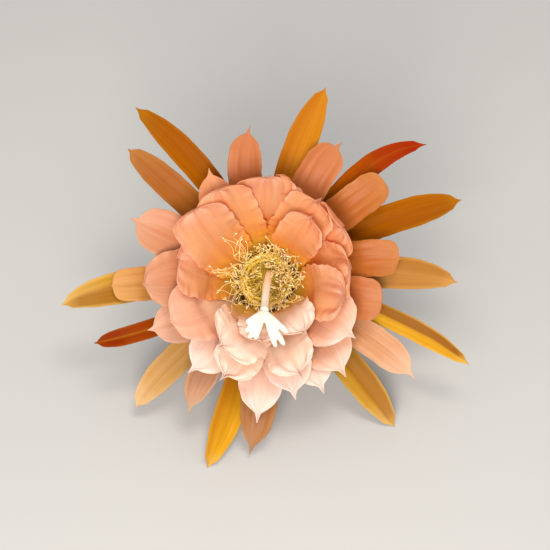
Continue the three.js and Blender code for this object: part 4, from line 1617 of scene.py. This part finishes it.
@dataclass
class FloralTube:
    """The tube behind the bloom, with its ovary, its small scales and the cup in its mouth."""

    sides: int = 72
    scale_count: int = 24
    scale_thickness: float = 0.5
    ovary_w: float = -62.0
    throat_floor_w: float = -14.5
    skin_points: int = 10
    rim_point: int = 11
    outside_rings: int = 66
    inside_rings: int = 30
    rim_share: float = 0.72
    lip_share: float = 0.8
    profile: tuple[tuple[float, float], ...] = (
        (3.4, -71.6), (5.6, -69.8), (7.9, -65.4), (8.6, -60.6), (7.6, -54.6), (5.8, -49.0),
        (5.6, -40.0), (5.7, -32.0), (6.6, -27.0), (7.2, -24.0), (9.6, -12.0), (12.0, 0.0),
        (11.3, 0.7), (10.4, 0.0), (9.3, -5.4), (6.6, -9.5), (4.6, -13.0),
    )

    def skin_radius(self, w: float) -> float:
        """Gives the radius of the skin at a height w."""
        rows = self.profile[: self.skin_points]
        return float(np.interp(w, [p[1] for p in rows], [p[0] for p in rows]))

    def build(self) -> Piece:
        """Makes the tube and sets its scales on it.

        Returns:
            The tube, without its finish.
        """
        outline = [(r, w, 0.0) for r, w in self.profile]
        outside = smooth_path(outline[: self.rim_point + 1], self.outside_rings)[:, :2]
        inside = smooth_path(outline[self.rim_point :], self.inside_rings)[1:, :2]
        tube = self.draw_up(np.vstack([outside, inside]))
        self.map_heights(tube, None)
        made = Bench.join([tube, *self.scales()], tube.name)
        Bench.smooth(made, 60)
        return made

    def draw_up(self, rings: np.ndarray) -> Piece:
        """Draws the tube up from its foot, ring by ring, and down again inside.

        Args:
            rings: The radius and the height of each ring.

        Returns:
            The closed tube at its place.
        """
        Bench.clear()
        bpy.ops.mesh.primitive_circle_add(vertices=self.sides, radius=rings[0][0], fill_type="TRIFAN")
        tube = bpy.context.object
        tube.name = tube.data.name = "floral_tube_skin"
        bpy.ops.object.mode_set(mode="EDIT")
        bpy.ops.mesh.select_all(action="DESELECT")
        bpy.ops.object.mode_set(mode="OBJECT")
        # The edge of the foot is what the first ring is drawn from. The middle of its fan stays.
        for vertex in tube.data.vertices:
            vertex.select = vertex.co.length > 1e-4
        for edge in tube.data.edges:
            edge.select = all(tube.data.vertices[n].co.length > 1e-4 for n in edge.vertices)
        bpy.ops.object.mode_set(mode="EDIT")
        for (r0, w0), (r1, w1) in zip(rings, rings[1:]):
            bpy.ops.mesh.extrude_edges_move(TRANSFORM_OT_translate={"value": (0, 0, w1 - w0)})
            bpy.ops.transform.resize(value=(r1 / r0, r1 / r0, 1))
        bpy.ops.mesh.edge_face_add()
        bpy.ops.mesh.poke()
        bpy.ops.object.mode_set(mode="OBJECT")
        self.shape(tube)
        Bench.outward(tube)
        return tube

    def shape(self, tube: Piece) -> None:
        """Swells the tube with low ribs and lays it at its place.

        Args:
            tube: The drawn tube, which stands upright on the origin.
        """
        co = Bench.points(tube)
        co[:, 2] += self.profile[0][1]
        turn = np.arctan2(co[:, 1], co[:, 0])
        radius = np.hypot(co[:, 0], co[:, 1])
        outer = (radius > 5.0) & (co[:, 2] < -14)
        rib = 0.22 * np.sin(8 * turn + 0.11 * co[:, 2]) + 0.12 * np.sin(13 * turn - 0.3 * co[:, 2])
        share = 1 + outer * rib * step(co[:, 2], -72, -64) / np.maximum(radius, 1)
        # The floor of the throat is dished by a millimetre in its middle.
        co[:, 2] -= (radius < 0.1) & (co[:, 2] > -40)
        co[:, :2] *= share[:, None]
        Bench.move(tube, FRAME.place(co, 0.0))

    def map_heights(self, piece: Piece, level: float | None) -> None:
        """Writes the turn and the height along the tube into the map.

        Args:
            piece: The tube or a scale.
            level: One height for the whole piece, or None to read it from the place.
        """
        mesh = piece.data
        co = FRAME.read(piece)
        turn = np.arctan2(co[:, 1], co[:, 0]) / (2 * math.pi) + 0.5
        high = np.interp(co[:, 2], [-72, 0], [0.0, self.rim_share])
        # The inside of the throat has its own stretch of the map, from the lip down to the floor.
        wall = np.interp(co[:, 2], [self.throat_floor_w, -13, 0], [5.2, 5.4, 11.2])
        inside = (np.hypot(co[:, 0], co[:, 1]) < wall) & (co[:, 2] > self.throat_floor_w)
        high = np.where(inside, np.interp(co[:, 2], [-14, 0], [1.0, self.lip_share]), high)
        if level is not None:
            high = np.full(len(co), level)
        while mesh.uv_layers:
            mesh.uv_layers.remove(mesh.uv_layers[0])
        layer = mesh.uv_layers.new(name=BLADE_UV)
        corners = np.empty(len(mesh.loops), int)
        mesh.loops.foreach_get("vertex_index", corners)
        layer.data.foreach_set("uv", np.stack([turn[corners], high[corners]], 1).ravel())

    def scales(self) -> list[Piece]:
        """Shapes the small pointed scales that stand on the tube.

        Returns:
            The scales, apart from those that would lie under the ovary.
        """
        Bench.clear()
        bpy.ops.mesh.primitive_grid_add(x_subdivisions=8, y_subdivisions=12, size=2)
        blank = bpy.context.object
        dice = Dice(7)
        made = []
        for k in range(self.scale_count):
            climb = k / (self.scale_count - 1)
            w = -66 + 25 * climb
            turn = math.radians(GOLDEN_DEG * k + 20 * dice.roll())
            if math.cos(turn + math.pi / 2) > 0.6 and w < self.ovary_w + 12:
                continue
            scale = Bench.copy(blank, f"scale_{k:02d}")
            length, width = 4.5 + 5 * climb, 3 + 1.4 * climb
            grid = self.scale_grid(turn, w, length, width)
            Bench.move(scale, FRAME.place(grid.reshape(-1, 3)))
            Bench.finish(scale, "SOLIDIFY", thickness=self.scale_thickness * MM, offset=0.0)
            self.map_heights(scale, 0.5 + 0.14 * climb)
            made.append(scale)
        Bench.discard(blank)
        return made

    def scale_grid(self, turn: float, w: float, length: float, width: float) -> np.ndarray:
        """Lays out the middle surface of one scale.

        Args:
            turn: Its direction round the tube, in radians.
            w: The height of its root.
            length: Its length.
            width: Its width at the root.

        Returns:
            Its points as a grid of 13 rows of 9.
        """
        lean = math.radians(72)
        s = np.linspace(0, 1, 13)[:, None]
        t = np.linspace(1, -1, 9)[None, :]
        outward = np.array([math.cos(turn), math.sin(turn), 0])
        across = np.array([-math.sin(turn), math.cos(turn), 0])
        half = np.maximum(0.12, 0.5 * width * (1 - s**2.2))
        out = self.skin_radius(w) - 0.5 + s * length * math.cos(lean) - 0.35 * half * t * t
        high = w + s * length * math.sin(lean) + 0 * t
        return (
            outward * out[..., None]
            + across * (half * t)[..., None]
            + np.array([0, 0, 1]) * high[..., None]
        )


def mark_height(piece: Piece, low: float, high: float) -> None:
    """Writes how high each point stands in the flower.

    Args:
        piece: The piece to mark.
        low: The height w that counts as 0, in millimetres.
        high: The height that counts as 1.
    """
    height = FRAME.read(piece)[:, 2]
    mark = piece.data.attributes.new(HEIGHT_MARK, "FLOAT", "POINT")
    mark.data.foreach_set("value", np.clip((height - low) / (high - low), 0, 1))


@dataclass(frozen=True)
class CreamFinish:
    """Cream skin of style and stamens, which changes its colour with the height and bears fine down."""

    name: str
    low: str
    high: str
    bloom: str
    down_mm: float = 0.12

    def material(self) -> bpy.types.Material:
        """Builds the skin.

        Returns:
            The material, which reads the mark of height on the piece.
        """
        g = Graph(self.name)
        local = g.own_place()
        climb = g.add("ShaderNodeAttribute", attribute_name=HEIGHT_MARK).outputs["Fac"]
        cloud = g.noise(local, 260.0, 3.0)
        share = g.rise(g.math("MULTIPLY_ADD", cloud, 0.2, climb), 0.1, 1.1)
        colour = g.mix(share, self.low, self.high)
        colour = g.mix(g.rise(cloud, 0.45, 0.75), colour, self.bloom)
        down = g.noise(local, 3200.0, 2.0)
        normal = g.bump(down, self.down_mm, 0.6)
        rough = g.math("MULTIPLY_ADD", down, 0.2, 0.45)
        return g.surface(colour, rough, normal, 0.35)


@dataclass
class Style:
    """The style, which leans down over the lower tepals, and its stigma of long lobes."""

    radius: float = 1.7
    lobe_radius: float = 1.3
    stem_steps: int = 40
    lobe_steps: int = 16
    grain: float = 0.28
    stem: tuple[tuple[float, float, float], ...] = (
        (1.0, 2.0, -12.6), (1.4, 2.6, 0.0), (0.3, -3.6, 20.0), (-0.6, -13.2, 37.0),
    )
    tips: tuple[tuple[float, float, float], ...] = (
        (9.4, -22.2, 41.0), (8.0, -27.6, 39.4), (4.4, -28.4, 38.8), (-4.4, -25.0, 39.2),
        (-7.0, -24.6, 39.6), (-8.4, -21.8, 40.6), (-8.2, -18.2, 41.8),
    )

    def path(self) -> np.ndarray:
        """Gives the middle line of the stem."""
        return smooth_path(self.stem, self.stem_steps)

    def build(self) -> Piece:
        """Draws the stem and its lobes and grows them together.

        Returns:
            The style, without its finish.
        """
        stem = self.path()
        swell = 1 + 0.15 * step(np.arange(self.stem_steps + 1) / self.stem_steps, 0.9, 1.0)
        paths, radii = [stem], [swell]
        share = self.lobe_radius / self.radius
        at = np.linspace(0, 1, self.lobe_steps + 1)
        bulge = np.interp(at, [0, 0.2, 0.55, 0.8, 0.94, 1], [0.85, 1, 1.06, 1.0, 0.82, 0.45])
        for n, tip in enumerate(self.tips):
            hub, end = stem[-1], np.array(tip)
            middle = (hub + end) / 2 + np.array([0, 0, 1.6])
            paths.append(smooth_path([hub + (middle - hub) * 0.08, middle, end], self.lobe_steps))
            radii.append(share * bulge * (1 + 0.04 * np.sin(9 * at + n)))
        style = swept("style_stem", paths, radii, self.radius, 5)
        Bench.finish(style, "REMESH", mode="VOXEL", voxel_size=self.grain * MM)
        Bench.finish(style, "SMOOTH", factor=0.5, iterations=3)
        Bench.smooth(style, 80)
        mark_height(style, 12.0, 40.0)
        return style

    def dress(self, style: Piece) -> None:
        """Gives the style its finish and hands it over."""
        finish = CreamFinish("style_skin", "#ffdabc", "#d0ccba", "#e8dfd0")
        Bench.hand_over(style, "style", "style", finish.material())


@dataclass(frozen=True)
class Tuft:
    """One group of stamens, as ranges that each filament takes its own numbers from.

    Attributes:
        count: How many filaments it has.
        turn: Where they stand round the throat, in degrees.
        reach: How far out they end, in millimetres.
        height: How high they end over the rim of the cup.
        swirl: How far they turn round the throat on the way, in radians.
    """

    count: int
    turn: tuple[float, float]
    reach: tuple[float, float]
    height: tuple[float, float]
    swirl: tuple[float, float]


@dataclass
class Stamens:
    """The ring in the throat with its many thin, curled filaments and their anthers."""

    seed: int = 31
    thick: float = 0.11
    bends: int = 14
    anther_length: float = 1.9
    anther_radii: tuple[float, float] = (0.25, 0.21)
    ring_radius: float = 8.9
    ring_thick: float = 0.65
    ring_w: float = -2.7
    clear: float = 0.65
    style_clear: float = 2.1
    tufts: tuple[Tuft, ...] = (
        Tuft(84, (-50, 55), (4, 12), (5, 20), (-0.4, 0.4)),
        Tuft(24, (0, 70), (13, 19), (10, 18), (-0.6, 0.6)),
        Tuft(26, (-75, -15), (9, 19), (8, 16), (-0.7, 0.7)),
        Tuft(34, (65, 120), (6, 19), (4, 14), (-0.5, 0.5)),
        Tuft(54, (120, 215), (5, 21), (3, 14), (-0.5, 0.5)),
        Tuft(20, (215, 285), (6, 15), (3, 12), (-0.5, 0.5)),
        Tuft(12, (135, 205), (20, 26), (14, 16), (-0.4, 0.4)),
        Tuft(60, (0, 360), (12.4, 14.5), (1.5, 7), (-0.25, 0.25)),
        Tuft(22, (78, 112), (13, 15), (4, 8), (-0.25, 0.25)),
        Tuft(26, (-105, -62), (11.5, 15), (2, 8), (-0.25, 0.25)),
        Tuft(54, (20, 340), (2.5, 7), (-5, 6), (-0.3, 0.3)),
    )

    def path(self, lower: float, draw: tuple[float, ...]) -> np.ndarray:
        """Runs one filament from the wall of the throat to its anther.

        Args:
            lower: How far the end is drawn in to keep clear.
            draw: Its own chance numbers.

        Returns:
            The points of the filament.
        """
        turn, reach, height, swirl, foot, phase, amp = draw
        # The deeper its foot, the nearer it is to the axis, because the throat narrows there.
        w0 = -1.5 - 9 * foot**0.5
        r0 = CUP.radius(w0) - CUP.wall - 0.15 - max(0.0, -5.4 - w0) * 0.62
        end = max(2.0, reach - lower)
        # One that ends far out also ends high, over the tepals that rise there.
        height = max(height, 1.95 * (reach - 12.5) + 2.5)
        s = np.linspace(0, 1, self.bends + 1)
        r = r0 + (end - r0) * s**1.2
        w = w0 + (height - w0) * (1.15 * s - 0.15 * s**2.5)
        angle = math.radians(turn) + swirl * s**1.4 + 0.14 * np.sin(7 * s + phase) * s
        wave = amp * s**2.2
        r = r + wave * np.sin(8.5 * s + phase)
        w = w + wave * np.cos(8.5 * s + 2 * phase)
        return np.stack([r * np.cos(angle), r * np.sin(angle), w], 1)

    def is_clear(self, path: np.ndarray, tree: BVHTree, style: np.ndarray) -> bool:
        """Tells whether a filament and its anther keep off the blades and the style.

        Args:
            path: The points of the filament.
            tree: The inner blades.
            style: The middle line of the style.

        Returns:
            Whether nothing is in the way.
        """
        ahead = unit(path[-1] - path[-2])
        test = np.vstack([path[4:], path[-1] + ahead * 1.2, path[-1] + ahead * 2.4])
        gaps = np.linalg.norm(test[:, None] - style[None], axis=2)
        if gaps.min() < self.style_clear:
            return False
        for point in test:
            found = tree.find_nearest(Vector(point), 4.0)
            if found[0] is not None and found[3] < self.clear:
                return False
        return True

    def build(self, tree: BVHTree, style: np.ndarray) -> tuple[Piece, Piece]:
        """Grows all stamens.

        Args:
            tree: The inner blades.
            style: The middle line of the style.

        Returns:
            The ring with its filaments, and the anthers.
        """
        dice = Dice(self.seed)
        paths = []
        for tuft in self.tufts:
            for _ in range(tuft.count):
                draw = (
                    dice.roll(*tuft.turn), dice.roll(*tuft.reach), dice.roll(*tuft.height),
                    dice.roll(*tuft.swirl), dice.roll(), dice.roll(0, 6.3), dice.roll(0.4, 2.0),
                )
                # It is drawn in step by step until nothing is in its way, or left out.
                for lower in np.arange(0, 14, 0.8):
                    path = self.path(float(lower), draw)
                    if self.is_clear(path, tree, style):
                        paths.append(path)
                        break
        taper = [np.linspace(1.25, 0.8, self.bends + 1)] * len(paths)
        threads = swept("stamen_filaments", paths, taper, self.thick, 1)
        LOG.info("%d stamens", len(paths))
        ring = self.ring()
        filaments = Bench.join([threads, ring], "stamen_filaments")
        Bench.smooth(filaments, 60)
        mark_height(filaments, -2.0, 20.0)
        return filaments, self.anthers(paths)

    def ring(self) -> Piece:
        """Turns the low ring in the throat that the outer stamens stand on.

        Returns:
            The ring.
        """
        Bench.clear()
        bpy.ops.mesh.primitive_torus_add(
            major_radius=self.ring_radius * MM, minor_radius=self.ring_thick * MM,
            major_segments=72, minor_segments=12,
        )
        ring = bpy.context.object
        co = Bench.points(ring) / MM
        high = co[:, 2] * 3.4
        co[:, 2] = high + self.ring_w
        co[:, :2] *= (1 + 0.012 * high)[:, None]
        Bench.move(ring, FRAME.place(co))
        return ring

    def anthers(self, paths: Sequence[np.ndarray]) -> Piece:
        """Sets a grooved anther on the end of every filament.

        Args:
            paths: The points of each filament.

        Returns:
            All anthers as one piece.
        """
        Bench.clear()
        bpy.ops.mesh.primitive_uv_sphere_add(segments=8, ring_count=7, radius=1)
        pattern = bpy.context.object
        shape = Bench.points(pattern)
        groove = 1 - 0.25 * np.exp(-((shape[:, 0] / 0.35) ** 2)) * (shape[:, 1] > 0)
        shape[:, 1] = shape[:, 1] * groove + 0.5 * shape[:, 2] ** 2
        shape *= np.array([*self.anther_radii, 0.5 * self.anther_length])
        dice = Dice(self.seed + 5)
        made = []
        for n, path in enumerate(paths):
            nod = np.array([dice.roll(-1, 1), dice.roll(-1, 1), 0.2])
            ahead = unit(unit(path[-1] - path[-2]) + 0.7 * nod)
            side = unit(np.cross(ahead, [dice.roll(-1, 1), dice.roll(-1, 1), 0.3]))
            size = dice.roll(0.75, 1.1)
            axes = np.stack([side, np.cross(ahead, side), ahead])
            anther = Bench.copy(pattern, f"anther_{n:03d}")
            middle = path[-1] + ahead * 0.3 * self.anther_length
            Bench.move(anther, FRAME.place(middle + size * shape @ axes))
            made.append(anther)
        Bench.discard(pattern)
        whole = Bench.join(made, "stamen_anthers")
        Bench.smooth(whole, 70)
        mark_height(whole, 0.0, 30.0)
        return whole

    def dress(self, filaments: Piece, anthers: Piece) -> None:
        """Gives the filaments and anthers their finishes and hands them over.

        Args:
            filaments: The ring with its filaments.
            anthers: The anthers.
        """
        thread = CreamFinish("filament_skin", "#f4d850", "#fce29c", "#fef2cc", 0.03)
        pollen = CreamFinish("anther_skin", "#f0d088", "#fcecc8", "#fef4dc", 0.02)
        Bench.hand_over(filaments, "stamens", "stamens", thread.material())
        Bench.hand_over(anthers, "stamens", "stamens", pollen.material())


@dataclass
class Studio:
    """Pale floor, soft light from above and the camera that looks into the bloom's face."""

    camera_uv_mm: tuple[float, float] = (4.0, 2.2)
    distance_mm: float = 900.0
    view_deg: float = 15.46
    key_from: tuple[float, float, float] = (0.12, 0.54, 0.84)
    key_watts: float = 6.0
    key_size: float = 0.4
    fill_from: tuple[float, float, float] = (-0.1, -0.28, 1.0)
    fill_watts: float = 17.0
    fill_size: float = 0.5
    lamp_distance: float = 1.2
    sky: float = 0.75

    def floor(self) -> None:
        """Lays the pale floor."""
        Bench.clear()
        bpy.ops.mesh.primitive_plane_add(size=8, location=(0, 0, 0))
        floor = bpy.context.object
        floor.name = "studio_floor"
        g = Graph("floor_paint")
        local = g.own_place()
        cloud = g.noise(local, 6.0, 3.0)
        colour = g.mix(cloud, "#b2b1ae", "#b8b7b4")
        normal = g.bump(g.noise(local, 900.0, 2.0), 0.05, 0.2)
        floor.data.materials.append(g.surface(colour, 0.8, normal, 0.2))

    def lamp(self, name: str, direction: Sequence[float], watts: float, size: float, colour: str) -> None:
        """Hangs one soft lamp that shines on the throat.

        Args:
            name: The lamp's name.
            direction: Where it hangs, seen from the throat, as u, v and w.
            watts: Its power.
            size: Its side in metres.
            colour: Its colour.
        """
        light = bpy.data.lights.new(name, "AREA")
        light.energy = watts
        light.size = size
        light.color = linear(colour)[:3]
        lamp = bpy.data.objects.new(name, light)
        bpy.context.collection.objects.link(lamp)
        toward = FRAME.aim(direction).normalized()
        lamp.location = Vector(FRAME.throat_mm) * MM + toward * self.lamp_distance
        lamp.rotation_mode = "QUATERNION"
        lamp.rotation_quaternion = toward.to_track_quat("Z", "Y")

    def build(self) -> None:
        """Sets floor, lamps, sky and camera."""
        self.floor()
        self.lamp("key_lamp", self.key_from, self.key_watts, self.key_size, "#fff6ea")
        self.lamp("fill_lamp", self.fill_from, self.fill_watts, self.fill_size, "#fff8f0")
        scene = bpy.context.scene
        world = bpy.data.worlds.new("studio_sky")
        scene.world = world
        world.use_nodes = True
        world.node_tree.nodes["Background"].inputs["Color"].default_value = linear("#f4f6fa")
        world.node_tree.nodes["Background"].inputs["Strength"].default_value = self.sky
        scene.view_settings.view_transform = "Standard"
        camera = bpy.data.objects.new("studio_camera", bpy.data.cameras.new("studio_camera"))
        bpy.context.collection.objects.link(camera)
        camera.data.sensor_fit = "HORIZONTAL"
        camera.data.angle = math.radians(self.view_deg)
        camera.data.clip_start, camera.data.clip_end = 0.05, 20.0
        spot = np.array([[*self.camera_uv_mm, self.distance_mm]])
        camera.location = Vector(FRAME.place(spot)[0])
        camera.rotation_euler = (math.radians(90 - FRAME.face_tilt_deg), 0, 0)
        scene.camera = camera


def main() -> None:
    """Builds the tepals, the tube, the style and the stamens, then the studio, and reports each piece."""
    logging.basicConfig(level=logging.INFO, format="%(message)s")
    Bench.clear()
    corolla = Corolla()
    blades = corolla.build()
    corolla.dress(blades)
    tube = FloralTube()
    Bench.hand_over(tube.build(), "floral_tube", "floral_tube", TubeFinish().material())
    style = Style()
    style.dress(style.build())
    stamens = Stamens()
    stamens.dress(*stamens.build(corolla.tree(), style.path()))
    Studio().build()


if __name__ == "__main__":
    main()
